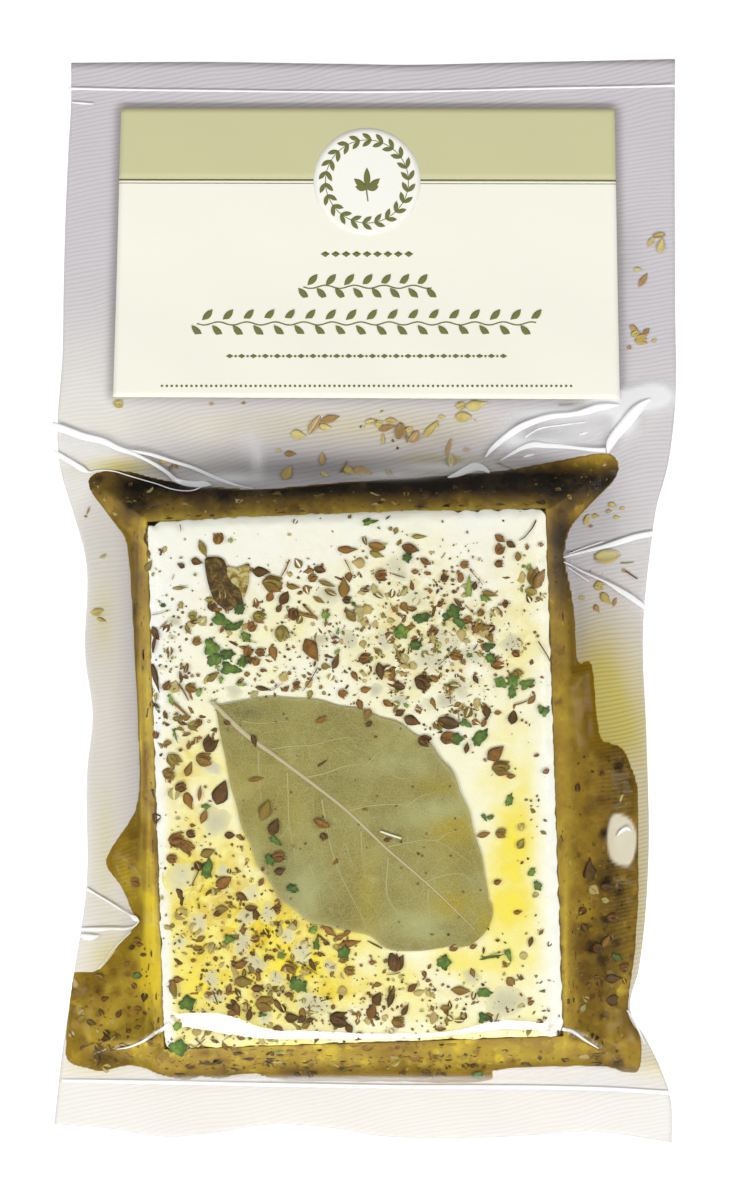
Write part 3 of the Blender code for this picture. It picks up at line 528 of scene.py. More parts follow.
def sheetParts(xs, ys, high, low, keep=None, attributes=None):
    # a closed sheet between two heights over a grid, or over the cells of it that are kept
    if keep is None:
        keep = np.ones((xs.shape[0] - 1, xs.shape[1] - 1), bool)
    used = np.zeros(xs.shape, bool)
    used[:-1, :-1] |= keep
    used[1:, :-1] |= keep
    used[:-1, 1:] |= keep
    used[1:, 1:] |= keep
    number = np.full(xs.shape, -1)
    number[used] = np.arange(used.sum())
    count = int(used.sum())
    top = np.column_stack([xs[used], ys[used], high[used]])
    bottom = np.column_stack([xs[used], ys[used], low[used]])
    r, c = np.nonzero(keep)
    faces = np.column_stack([number[r, c], number[r, c + 1], number[r + 1, c + 1], number[r + 1, c]])
    allFaces = faces.tolist() + (faces[:, ::-1] + count).tolist()
    padded = np.pad(keep, 1)
    inner = padded[1:-1, 1:-1]
    ends = {(-1, 0): ((0, 0), (0, 1)), (1, 0): ((1, 1), (1, 0)), (0, -1): ((1, 0), (0, 0)),
            (0, 1): ((0, 1), (1, 1))}
    for (down, right), (firstEnd, secondEnd) in ends.items():
        beside = padded[1 + down:padded.shape[0] - 1 + down, 1 + right:padded.shape[1] - 1 + right]
        r, c = np.nonzero(inner & ~beside)
        first = number[r + firstEnd[0], c + firstEnd[1]]
        second = number[r + secondEnd[0], c + secondEnd[1]]
        allFaces += np.column_stack([first, first + count, second + count, second]).tolist()
    both = {key: np.concatenate([values[used], values[used]]) for key, values in (attributes or {}).items()}
    return np.vstack([top, bottom]), allFaces, both


def discParts(middle, outline, rings, high, low, values=None):
    # a closed round sheet inside an outline; high and low give heights from x, y and the share outwards
    outline = np.array(outline, float)
    count = len(outline)
    middle = np.array(middle, float)
    shares = [ring / rings for ring in range(1, rings + 1)]
    flat = [middle[None, :]] + [middle + (outline - middle) * share for share in shares]
    places = np.vstack(flat)
    rim = np.concatenate([[0.0]] + [np.full(count, share) for share in shares])
    top = np.column_stack([places, high(places[:, 0], places[:, 1], rim)])
    bottom = np.column_stack([places, low(places[:, 0], places[:, 1], rim)])
    total = len(places)
    faces = []
    for k in range(count):
        after = (k + 1) % count
        faces.append((0, 1 + k, 1 + after))
        faces.append((total, total + 1 + after, total + 1 + k))
        for ring in range(rings - 1):
            a = 1 + ring * count
            faces.append((a + k, a + count + k, a + count + after, a + after))
            faces.append((total + a + k, total + a + after, total + a + count + after, total + a + count + k))
        last = 1 + (rings - 1) * count
        faces.append((last + k, total + last + k, total + last + after, last + after))
    attributes = {"rim": np.concatenate([rim, rim])}
    for key, value in (values or {}).items():
        attributes[key] = np.full(2 * total, value)
    return np.vstack([top, bottom]), faces, attributes


def joinParts(parts):
    points, faces, attributes = [], [], {}
    count = 0
    for partPoints, partFaces, partValues in parts:
        points.append(partPoints)
        faces += [tuple(int(k) + count for k in face) for face in partFaces]
        for key, values in partValues.items():
            attributes.setdefault(key, []).append(values)
        count += len(partPoints)
    return np.vstack(points), faces, {key: np.concatenate(values) for key, values in attributes.items()}


# material helpers

def addNode(tree, kind, inputs=None, **settings):
    made = tree.nodes.new(kind)
    for key, value in settings.items():
        setattr(made, key, value)
    for key, value in (inputs or {}).items():
        if isinstance(value, bpy.types.NodeSocket):
            tree.links.new(value, made.inputs[key])
        else:
            made.inputs[key].default_value = value
    return made


def mathNode(tree, operation, first, second=0.0, clamp=False):
    made = addNode(tree, "ShaderNodeMath", {0: first, 1: second}, operation=operation)
    made.use_clamp = clamp
    return made.outputs[0]


def rampNode(tree, factor, stops):
    made = addNode(tree, "ShaderNodeValToRGB", {"Fac": factor})
    elements = made.color_ramp.elements
    while len(elements) < len(stops):
        elements.new(0.5)
    for element, (place, colour) in zip(elements, stops):
        element.position = place
        element.color = (*colour, 1.0)
    return made.outputs["Color"]


def mixColour(tree, factor, first, second, blend="MIX"):
    made = addNode(tree, "ShaderNodeMix", data_type="RGBA", blend_type=blend)
    for socket, value in ((made.inputs[0], factor), (made.inputs[6], first), (made.inputs[7], second)):
        if isinstance(value, bpy.types.NodeSocket):
            tree.links.new(value, socket)
        elif isinstance(value, tuple):
            socket.default_value = (*value, 1.0)
        else:
            socket.default_value = value
    return made.outputs[2]


def attributeNode(tree, name):
    return addNode(tree, "ShaderNodeAttribute", attribute_name=name).outputs["Fac"]


def newMaterial(name, **values):
    material = bpy.data.materials.new(name)
    material.use_nodes = True
    tree = material.node_tree
    shader = tree.nodes["Principled BSDF"]
    for key, value in values.items():
        shader.inputs[key].default_value = value
    return material, tree, shader


def objectPlace(tree):
    return addNode(tree, "ShaderNodeTexCoord").outputs["Object"]


def groupTree(name, inputs, outputs):
    tree = bpy.data.node_groups.new(name, "ShaderNodeTree")
    for key, kind, value in inputs:
        socket = tree.interface.new_socket(key, in_out="INPUT", socket_type=kind)
        if value is not None:
            socket.default_value = value
    for key, kind in outputs:
        tree.interface.new_socket(key, in_out="OUTPUT", socket_type=kind)
    return tree, tree.nodes.new("NodeGroupInput"), tree.nodes.new("NodeGroupOutput")


def placeGroup(tree, group, inputs):
    made = addNode(tree, "ShaderNodeGroup", node_tree=group)
    for key, value in inputs.items():
        if isinstance(value, bpy.types.NodeSocket):
            tree.links.new(value, made.inputs[key])
        else:
            made.inputs[key].default_value = value
    return made


def mottleGroup():  # uneven patches of two sizes
    tree, ins, outs = groupTree("mottle", [("Place", "NodeSocketVector", None),
                                           ("Scale", "NodeSocketFloat", 100.0),
                                           ("Detail Scale", "NodeSocketFloat", 900.0),
                                           ("Contrast", "NodeSocketFloat", 2.0)],
                                [("Patches", "NodeSocketFloat"), ("Grain", "NodeSocketFloat")])
    big = addNode(tree, "ShaderNodeTexNoise", {"Vector": ins.outputs[0], "Scale": ins.outputs[1],
                                               "Detail": 4.0, "Roughness": 0.55, "Distortion": 0.6})
    fine = addNode(tree, "ShaderNodeTexNoise", {"Vector": ins.outputs[0], "Scale": ins.outputs[2],
                                                "Detail": 3.0, "Roughness": 0.6})
    centred = mathNode(tree, "SUBTRACT", big.outputs["Fac"], 0.5)
    scaled = mathNode(tree, "MULTIPLY", centred, ins.outputs[3])
    tree.links.new(mathNode(tree, "ADD", scaled, 0.5, clamp=True), outs.inputs[0])
    tree.links.new(fine.outputs["Fac"], outs.inputs[1])
    return tree


def embossGroup():  # fine dotted lines pressed into the film, slightly wavy
    tree, ins, outs = groupTree("embossedLines", [("Place", "NodeSocketVector", None),
                                                  ("Turn", "NodeSocketFloat", 0.2),
                                                  ("Pitch", "NodeSocketFloat", 0.00089),
                                                  ("Waver", "NodeSocketFloat", 0.0044)],
                                [("Lines", "NodeSocketFloat"), ("Pressed", "NodeSocketFloat")])
    bend = addNode(tree, "ShaderNodeTexNoise", {"Vector": ins.outputs[0], "Scale": 48.0, "Detail": 1.0})
    split = addNode(tree, "ShaderNodeSeparateXYZ", {"Vector": ins.outputs[0]})
    shift = mathNode(tree, "MULTIPLY", mathNode(tree, "SUBTRACT", bend.outputs["Fac"], 0.5), ins.outputs[3])
    sideways = mathNode(tree, "MULTIPLY", split.outputs["X"], ins.outputs[1])
    along = mathNode(tree, "ADD", split.outputs["X"], mathNode(tree, "MULTIPLY", split.outputs["Y"], ins.outputs[1]))
    down = mathNode(tree, "ADD", mathNode(tree, "SUBTRACT", split.outputs["Y"], sideways), shift)
    turns = mathNode(tree, "DIVIDE", 2 * math.pi, ins.outputs[2])
    lines = mathNode(tree, "SINE", mathNode(tree, "MULTIPLY", down, turns))
    dots = mathNode(tree, "SINE", mathNode(tree, "MULTIPLY", along, mathNode(tree, "MULTIPLY", turns, 1.9)))
    lines = mathNode(tree, "POWER", mathNode(tree, "ADD", mathNode(tree, "MULTIPLY", lines, 0.5), 0.5), 2.2)
    dots = mathNode(tree, "ADD", mathNode(tree, "MULTIPLY", dots, 0.42), 0.58)
    tree.links.new(lines, outs.inputs[0])
    tree.links.new(mathNode(tree, "MULTIPLY", lines, dots), outs.inputs[1])
    return tree


mottle = mottleGroup()
emboss = embossGroup()


def addBump(tree, shader, height, strength, distance):
    bump = addNode(tree, "ShaderNodeBump", {"Height": height, "Strength": strength, "Distance": distance})
    tree.links.new(bump.outputs["Normal"], shader.inputs["Normal"])
    return bump


# clear front film

filmFinish = {"roughness": 0.08, "ior": 1.5, "gloss": 0.18, "gleam": 4.0, "hazeAndPaintedSheen": 0.002,
              "mostGloss": 0.24}


def clearFilmMaterial():
    material = bpy.data.materials.new("clearFilm")
    material.use_nodes = True
    tree = material.node_tree
    tree.nodes.remove(tree.nodes["Principled BSDF"])
    patches = placeGroup(tree, mottle, {"Place": objectPlace(tree), "Scale": 130.0, "Detail Scale": 1400.0,
                                        "Contrast": 1.5})
    bump = addNode(tree, "ShaderNodeBump", {"Height": patches.outputs["Patches"], "Strength": 0.12,
                                            "Distance": 0.0003})
    fresnel = addNode(tree, "ShaderNodeFresnel", {"IOR": filmFinish["ior"], "Normal": bump.outputs["Normal"]})
    facing = addNode(tree, "ShaderNodeNewGeometry")
    front = mathNode(tree, "SUBTRACT", 1.0, facing.outputs["Backfacing"])
    strength = mathNode(tree, "MULTIPLY", attributeNode(tree, "gleam"), filmFinish["gleam"])
    strength = mathNode(tree, "ADD", strength, filmFinish["gloss"])
    gloss = mathNode(tree, "MULTIPLY", fresnel.outputs["Fac"], strength)
    gloss = mathNode(tree, "MINIMUM", gloss, filmFinish["mostGloss"])
    gloss = mathNode(tree, "MULTIPLY", gloss, front, clamp=True)
    clear = addNode(tree, "ShaderNodeBsdfTransparent", {"Color": (0.99, 0.99, 0.985, 1.0)})
    shine = addNode(tree, "ShaderNodeBsdfGlossy", {"Roughness": filmFinish["roughness"],
                                                   "Normal": bump.outputs["Normal"]})
    # diffuse white that lays the painted highlight into the film, besides a faint even haze
    paintedSheen = addNode(tree, "ShaderNodeBsdfDiffuse", {"Color": (0.95, 0.95, 0.96, 1.0)})
    hazeAndPaintedSheen = mathNode(tree, "MULTIPLY", patches.outputs["Patches"], filmFinish["hazeAndPaintedSheen"])
    hazeAndPaintedSheen = mathNode(tree, "ADD", hazeAndPaintedSheen, attributeNode(tree, "paintedSheen"))
    body = addNode(tree, "ShaderNodeMixShader", {0: hazeAndPaintedSheen, 1: clear.outputs[0], 2: paintedSheen.outputs[0]})
    whole = addNode(tree, "ShaderNodeMixShader", {0: gloss, 1: body.outputs[0], 2: shine.outputs[0]})
    tree.links.new(whole.outputs[0], tree.nodes["Material Output"].inputs["Surface"])
    return material


clearFilm = clearFilmMaterial()
gridX, gridY = pouchGrid(*(filmSizes[key] for key in ("left", "across", "right", "bottom", "along", "top")))
filmHigh, filmGleam = filmTop(gridX, gridY)
filmHigh = np.minimum(filmHigh, pouchHigh.z / mm)
# painted highlight: how much diffuse white the front film gets at each point
filmPaintedSheen = np.clip(zoneSum(gridX, gridY, paintedSheenZones), 0.0, 0.85)
frontFilm = newPiece("frontFilm", newMesh("frontFilm", *sheetParts(
    gridX, gridY, filmHigh, filmHigh - filmSizes["thick"], attributes={"gleam": filmGleam, "paintedSheen": filmPaintedSheen})),
    clearFilm)
print("front film made")


def creaseParts(route):  # a ridge of folded film whose face looks towards the near box
    rx, ry, width, upX, upY, slope = routeRows(route, 0.35)
    shares = (-0.5, -0.2, 0.2, 0.5)
    climbs = [0.5 * (share + 0.5) * slope * width for share in shares]  # low, so its shadow stays narrow
    places = [(rx + upX * share * width, ry + upY * share * width) for share in shares]
    base = [plainFilm(x, y) for x, y in places]
    foot = np.max([under - climb for under, climb in zip(base, climbs)], axis=0) + 0.02
    xs = np.column_stack([place[0] for place in places])
    ys = np.column_stack([place[1] for place in places])
    high = np.minimum(np.column_stack([foot + climb for climb in climbs]), pouchHigh.z / mm)
    low = np.minimum(high - 0.03, np.column_stack(base) - 0.03)
    return sheetParts(xs, ys, high, low)


def paintedGleamFilmMaterial():  # white strips that stand for the film's gleams: painted highlight, partly film whitened by folding; opaque because the renderer counts see-through layers
    material, tree, shader = newMaterial("paintedGleamFilm", Roughness=0.2, **{"Specular IOR Level": 0.5})
    patches = placeGroup(tree, mottle, {"Place": objectPlace(tree), "Scale": 260.0, "Detail Scale": 1800.0})
    colour = mixColour(tree, patches.outputs["Patches"], (0.9, 0.9, 0.91), (0.97, 0.97, 0.98))
    tree.links.new(colour, shader.inputs["Base Color"])
    addBump(tree, shader, patches.outputs["Patches"], 0.08, 0.0002)
    return material


# the creases' white colour is painted highlight along the lines where the film gleams
creases = newPiece("filmCreases", newMesh("filmCreases", *joinParts([
    creaseParts(route) for route in creaseRoutes.values()])), paintedGleamFilmMaterial())
print("creases made")


# back film with its pressed pattern

labelSizes = {"corners": [(-51.1, 103.1), (52.2, 103.0), (53.2, 42.0), (-52.7, 42.5)], "thick": 0.2,
              "above": 0.35, "columns": 90, "rows": 50}
backSizes = {"thick": 0.15, "left": 26, "across": 60, "right": 26, "bottom": 30, "along": 60, "top": 110}
backFinish = {"grey": (0.655, 0.62, 0.66), "pale": (0.84, 0.815, 0.785), "pressed": 0.22, "shade": (0.3, 0.29, 0.25),
              "oiled": (0.87, 0.76, 0.13)}
paleZones = [(365, 1120, 600, 42, 1.5), (80, 860, 60, 330, 1.5), (80, 560, 45, 120, 1.2), (75, 400, 60, 90, 0.75),
             (640, 560, 60, 90, 0.4), (645, 400, 50, 50, 0.3), (160, 425, 90, 40, 0.35), (660, 1000, 30, 60, 0.8),
             (330, 415, 260, 18, 0.28), (205, 440, 30, 30, 0.3), (612, 690, 40, 70, 0.4), (360, 1076, 330, 9, 1.3)]
oiledZones = [(600, 670, 40, 60, 0.8), (612, 735, 32, 50, 1.0), (645, 790, 16, 130, 0.4), (640, 920, 16, 110, 0.45),
              (112, 960, 26, 22, 0.6), (120, 466, 36, 10, 0.8), (440, 463, 46, 11, 0.6), (104, 850, 12, 60, 0.3),
              (102, 620, 12, 40, 0.35), (300, 425, 200, 20, 0.22), (400, 430, 120, 24, 0.2), (655, 1065, 30, 20, 0.4),
              (90, 1072, 40, 10, 0.3)]
shadeZones = [(325, 468, 120, 17, 0.62), (205, 455, 60, 20, 0.22), (545, 466, 60, 9, 0.45), (150, 470, 60, 8, 0.3),
              (600, 520, 34, 30, 0.12), (580, 640, 12, 60, 0.25), (630, 255, 14, 40, 0.15), (440, 440, 30, 20, 0.1)]


def outsideLabel(x, y):  # distance outside the paper label's outline
    corners = labelSizes["corners"]
    return np.maximum(-depthInside(x, y, corners), 0.0)


def backFilmMaterial():
    material, tree, shader = newMaterial("backFilm", Roughness=0.42, **{"Specular IOR Level": 0.25})
    place = objectPlace(tree)
    pressed = placeGroup(tree, emboss, {"Place": place})
    patches = placeGroup(tree, mottle, {"Place": place, "Scale": 34.0, "Detail Scale": 1500.0, "Contrast": 1.4})
    pale = mathNode(tree, "ADD", attributeNode(tree, "pale"), mathNode(
        tree, "MULTIPLY", mathNode(tree, "SUBTRACT", patches.outputs["Patches"], 0.5), 0.16), clamp=True)
    strength = mathNode(tree, "MULTIPLY", pressed.outputs["Pressed"], mathNode(
        tree, "SUBTRACT", 1.0, mathNode(tree, "MULTIPLY", pale, 0.6)))
    strength = mathNode(tree, "MULTIPLY", strength, mathNode(
        tree, "ADD", 1.0, mathNode(tree, "MULTIPLY", attributeNode(tree, "oiled"), 1.6)))
    base = mixColour(tree, pale, backFinish["grey"], backFinish["pale"])
    dark = mixColour(tree, mathNode(tree, "MULTIPLY", strength, backFinish["pressed"]), (1.0, 1.0, 1.0),
                     (0.0, 0.0, 0.0))
    colour = mixColour(tree, 1.0, base, dark, "MULTIPLY")
    colour = mixColour(tree, attributeNode(tree, "oiled"), colour, backFinish["oiled"], "MULTIPLY")
    colour = mixColour(tree, attributeNode(tree, "shade"), colour, backFinish["shade"], "MULTIPLY")
    tree.links.new(colour, shader.inputs["Base Color"])
    addBump(tree, shader, pressed.outputs["Lines"], 0.14, 0.0002)
    return material


backX, backY = pouchGrid(*(backSizes[key] for key in ("left", "across", "right", "bottom", "along", "top")))
backLow = underside(backX, backY)
backShade = zoneSum(backX, backY, shadeZones) + 0.3 * (1.0 - smoothStep(outsideLabel(backX, backY) / 2.2))
backFilm = newPiece("backFilm", newMesh("backFilm", *sheetParts(
    backX, backY, backLow + backSizes["thick"], backLow,
    attributes={"pale": np.clip(zoneSum(backX, backY, paleZones), 0, 1),
                "oiled": np.clip(zoneSum(backX, backY, oiledZones), 0, 0.9),
                "shade": np.clip(backShade, 0, 0.9)})), backFilmMaterial())
print("back film made")


# cheese

cheeseSizes = {"inset": 0.35, "around": 640, "topRings": 54, "sideRings": 16, "bottomRings": 6, "crumb": 0.22,
               "edgeCrumb": 0.35, "cornerRound": 1.8, "belly": 0.3, "belowTop": 0.22, "edgeDrop": 1.1,
               "belowFilm": 0.12, "farEdge": 0.75}


def cheeseTop(x, y):
    inside = wallShare(x, y)[1]
    across, along = toBlock(x, y)
    crown = form["crown"] * np.maximum(1 - (2 * across / form["blockWidth"]) ** 2, 0)
    crown = crown * np.maximum(1 - (2 * along / form["blockLength"]) ** 2, 0)
    drop = cheeseSizes["edgeDrop"] * np.clip(1.0 + inside / 2.2, 0.0, 1.0) ** 2
    return form["topHeight"] - cheeseSizes["belowTop"] + crown - drop


def roundedRectangle(count, halfX, halfY, corner):
    straight = [2 * (halfY - corner), 2 * (halfX - corner)]
    arc = math.pi * corner / 2
    total = 2 * sum(straight) + 4 * arc
    points = []
    for number in range(count):
        walk = total * number / count
        for quarter in range(4):
            side = straight[quarter % 2]
            outX, outY = (halfX, halfY) if quarter % 2 == 0 else (halfY, halfX)
            local = None
            if walk < side:
                local = (outX, -side / 2 + walk)
            elif walk < side + arc:
                angle = (walk - side) / corner
                local = (outX - corner + corner * math.cos(angle), outY - corner + corner * math.sin(angle))
            if local is not None:
                cos, sin = round(math.cos(quarter * math.pi / 2)), round(math.sin(quarter * math.pi / 2))
                points.append((local[0] * cos - local[1] * sin, local[0] * sin + local[1] * cos))
                break
            walk -= side + arc
    return np.array(points)


def cheeseMesh():
    sizes = cheeseSizes
    ring = roundedRectangle(sizes["around"], form["blockWidth"] / 2 - sizes["inset"],
                            form["blockLength"] / 2 - sizes["inset"], sizes["cornerRound"])
    layers = []
    for step in range(1, sizes["topRings"] + 1):
        place = ring * (1.0 - (1.0 - step / sizes["topRings"]) ** 1.5)
        x, y = fromBlock(place[:, 0], place[:, 1])
        layers.append(np.column_stack([x, y, cheeseTop(x, y)]))
    topEdgeZ = layers[-1][:, 2]
    low = backSizes["thick"] + 0.05
    for step in range(1, sizes["sideRings"] + 1):
        share = step / sizes["sideRings"]
        bulge = 1.0 + sizes["belly"] * math.sin(math.pi * share) / 40.0 - 0.012 * smoothStep((share - 0.8) / 0.2)
        x, y = fromBlock(ring[:, 0] * bulge, ring[:, 1] * bulge)
        layers.append(np.column_stack([x, y, topEdgeZ + (low - topEdgeZ) * share]))
    for step in range(1, sizes["bottomRings"] + 1):
        scale = 0.985 * (1.0 - step / (sizes["bottomRings"] + 1))
        x, y = fromBlock(ring[:, 0] * scale, ring[:, 1] * scale)
        layers.append(np.column_stack([x, y, np.full(len(ring), low)]))
    count = sizes["around"]
    middleX, middleY = form["blockCentre"]
    topMiddle = [middleX, middleY, float(cheeseTop(np.array([middleX]), np.array([middleY]))[0])]
    points = np.vstack([[topMiddle]] + layers + [[[middleX, middleY, low]]])
    faces = [(0, 1 + k, 1 + (k + 1) % count) for k in range(count)]
    for layer in range(len(layers) - 1):
        start = 1 + layer * count
        for k in range(count):
            after = (k + 1) % count
            faces.append((start + k, start + count + k, start + count + after, start + after))
    last = 1 + (len(layers) - 1) * count
    faces += [(last + (k + 1) % count, last + k, len(points) - 1) for k in range(count)]
    across, along = toBlock(points[:, 0], points[:, 1])
    fromEdge = np.minimum(form["blockWidth"] / 2 - np.abs(across), form["blockLength"] / 2 - np.abs(along))
    near = smoothStep(1.0 - fromEdge / 5.0)
    sizesAt = sizes["crumb"] * (1.0 - near) * 0.5 + sizes["edgeCrumb"] * near
    sizesAt = np.where(points[:, 2] < 2.0, 0.0, sizesAt)
    far = smoothStep((along - form["blockLength"] / 2 + 4.0) / 4.0)
    bow = np.sin(math.pi * np.clip(across / form["blockWidth"] + 0.5, 0.0, 1.0)) ** 0.6
    notches = np.maximum(ripple(across, 0.0 * across, 3.2, 41, 9) - 0.55, 0.0)
    points[:, 1] += sizes["farEdge"] * far * (bow - 1.1 * notches - 0.25)
    moved = []
    for (x, y, z), size in zip(points, sizesAt):
        shift = (noise.noise_vector(Vector((x, y, z)) * 0.45) + noise.noise_vector(Vector((x, y, z)) * 1.3) * 0.5) * size
        moved.append((x + shift.x, y + shift.y, z + shift.z * 0.7))
    moved = np.array(moved)
    moved[:, 2] = np.minimum(moved[:, 2], plainFilm(moved[:, 0], moved[:, 1]) - sizes["belowFilm"])
    return newMesh("fetaBlock", moved, faces, {
        "stain": cheeseStain(moved[:, 0], moved[:, 1]),
        "soaked": np.clip(zoneSum(moved[:, 0], moved[:, 1], soakZones) * (1.0 - near), 0.0, 1.0)})


stainZones = [(250, 950, 95, 80, 0.3), (215, 880, 50, 70, 0.2), (512, 835, 26, 100, 0.22), (262, 838, 16, 34, 0.45),
              (400, 625, 150, 75, 0.18), (270, 640, 80, 50, 0.1), (503, 880, 20, 70, 0.1),
              (273, 930, 18, 26, 0.3), (300, 965, 34, 16, 0.3), (528, 620, 26, 60, 0.12),
              (345, 925, 22, 40, 0.3), (515, 890, 36, 62, 0.25), (470, 962, 60, 18, 0.26), (400, 1000, 70, 26, 0.0),
              (200, 760, 40, 60, 0.1), (528, 650, 26, 100, 0.1), (350, 1048, 220, 7, 0.15), (205, 985, 20, 20, 0.25),
              (330, 985, 24, 14, 0.3), (420, 545, 130, 30, 0.03), (530, 790, 24, 40, 0.06), (175, 900, 14, 60, 0.1)]


soakZones = [(205, 880, 46, 46, 0.8), (250, 930, 70, 70, 0.75), (330, 1000, 60, 26, 0.6), (400, 575, 50, 36, 0.3),
             (440, 635, 100, 65, 0.75), (185, 770, 24, 60, 0.6), (300, 930, 60, 60, 0.3), (230, 600, 40, 40, 0.25),
             (440, 990, 60, 20, 0.3), (300, 575, 60, 24, 0.15)]


def cheeseStain(x, y):
    px, py = toPhoto(x, y)
    stain = 0.05 + 0.26 * smoothStep((py - 600) / 280.0) + zoneSum(x, y, stainZones)
    across, along = toBlock(x, y)
    rightRim = smoothStep((across - form["blockWidth"] / 2 + 7.0) / 6.0) * smoothStep((py - 600) / 200.0)
    leftRim = smoothStep((-across - form["blockWidth"] / 2 + 3.6) / 2.6)
    stain = stain * (1.0 - 0.85 * np.maximum(rightRim, leftRim * smoothStep((py - 560) / 60.0)))
    return np.clip(stain, 0.0, 1.0)


cheeseFinish = [(0.0, (0.92, 0.925, 0.885)), (0.2, (0.9, 0.875, 0.64)), (0.45, (0.88, 0.8, 0.3)),
                (0.7, (0.87, 0.745, 0.13)), (1.0, (0.93, 0.77, 0.035))]


def cheeseMaterial():
    material, tree, shader = newMaterial("feta", Roughness=0.5, **{"Specular IOR Level": 0.2,
                                                                   "Subsurface Weight": 0.1,
                                                                   "Subsurface Scale": 0.002})
    shader.inputs["Subsurface Radius"].default_value = (1.0, 0.8, 0.4)
    place = objectPlace(tree)
    soaked = placeGroup(tree, mottle, {"Place": place, "Scale": 60.0, "Detail Scale": 700.0, "Contrast": 2.4})
    small = placeGroup(tree, mottle, {"Place": place, "Scale": 210.0, "Detail Scale": 2600.0, "Contrast": 2.2})
    stain = attributeNode(tree, "stain")
    uneven = mathNode(tree, "ADD", mathNode(tree, "MULTIPLY", soaked.outputs["Patches"], 0.9),
                      mathNode(tree, "MULTIPLY", small.outputs["Patches"], 0.5))
    amount = mathNode(tree, "MULTIPLY", stain, mathNode(tree, "ADD", uneven, 0.3), clamp=True)
    blots = placeGroup(tree, mottle, {"Place": place, "Scale": 320.0, "Detail Scale": 1100.0, "Contrast": 5.0})
    wet = mathNode(tree, "MULTIPLY", attributeNode(tree, "soaked"), blots.outputs["Patches"])
    colour = mixColour(tree, wet, rampNode(tree, amount, cheeseFinish), (0.82, 0.68, 0.3), "MULTIPLY")
    tree.links.new(colour, shader.inputs["Base Color"])
    addBump(tree, shader, small.outputs["Grain"], 0.2, 0.0003)
    return material


cheese = newPiece("fetaBlock", cheeseMesh(), cheeseMaterial())
print("cheese made")


# herb oil round the block

oilSizes = {"belowFilm": 0.6, "overlap": 1.0, "innerCut": 1.7, "innerRamp": 1.0, "edgeRise": 0.45, "spread": 0.25,
            "filmShare": 0.45}
bubbleOutline = roundedOutline([fromPhoto(*spot) for spot in (
    (612, 818), (622, 815), (633, 822), (638, 836), (636, 856), (630, 867), (620, 866), (611, 858), (608, 838))])


def oilTop(x, y):
    film = plainFilm(x, y)
    depth = depthInside(x, y, smoothOil) + oilSizes["spread"]
    inside = wallShare(x, y)[1]
    under = underside(x, y)
    room = np.minimum(oilSizes["belowFilm"], oilSizes["filmShare"] * (film - under))
    rise = (film - room - under) * smoothStep(np.maximum(depth, 0.0) / oilSizes["edgeRise"])
    height = under + 0.1 + np.maximum(rise - 0.1, 0.0)
    height = np.where(depth > 0.0, height, under + 0.06)
    return height - oilSizes["innerRamp"] * smoothStep(-inside / oilSizes["innerCut"])


toneZones = [(100, 490, 26, 20, -0.18), (330, 482, 330, 17, 0.78), (215, 500, 36, 10, 0.15), (608, 468, 24, 18, -0.12),
             (560, 484, 70, 18, 0.3), (563, 538, 17, 42, 0.55), (565, 590, 14, 40, 0.2), (612, 920, 26, 90, 0.2),
             (584, 802, 16, 28, -0.12), (148, 740, 14, 170, -0.2), (152, 950, 12, 80, -0.3), (622, 770, 14, 36, 0.24),
             (138, 600, 12, 60, 0.14), (95, 1010, 34, 40, -0.14), (145, 960, 30, 50, -0.32), (350, 1046, 240, 6, -0.12),
             (565, 945, 3.5, 75, -0.28), (124, 880, 16, 40, -0.42), (85, 990, 24, 20, 0.16), (350, 1074, 260, 8, 0.1), (300, 1060, 260, 12, -0.12),
             (144, 765, 3.5, 34, 0.26), (530, 1058, 80, 14, -0.16), (135, 505, 20, 18, 0.42), (640, 1020, 20, 40, 0.16),
             (572, 740, 18, 130, -0.08), (108, 940, 20, 30, -0.1)]
coverZones = [  # where the oil hides the back film up to its edge
    (330, 480, 340, 34, 1.6), (600, 470, 60, 34, 1.4), (105, 485, 60, 34, 1.2), (565, 560, 22, 70, 0.8),
    (618, 780, 24, 60, 0.8), (625, 930, 30, 110, 0.9), (100, 1000, 60, 60, 0.7), (130, 870, 30, 60, 0.6),
    (350, 1060, 330, 20, 0.7), (625, 1030, 40, 50, 1.0)]
oilFinish = [(0.0, (0.8, 0.6, 0.035)), (0.2, (0.53, 0.375, 0.04)), (0.42, (0.35, 0.218, 0.026)),
             (0.58, (0.215, 0.13, 0.02)), (0.75, (0.1, 0.06, 0.014)), (1.0, (0.013, 0.009, 0.006))]
oilTint = (0.66, 0.53, 0.12)
oilBubble = (0.77, 0.71, 0.55)  # pale air in the oil at the right
oilLean = (0.35, 0.35, 1.0)  # shading normals lean upright, as light spreads inside the oil


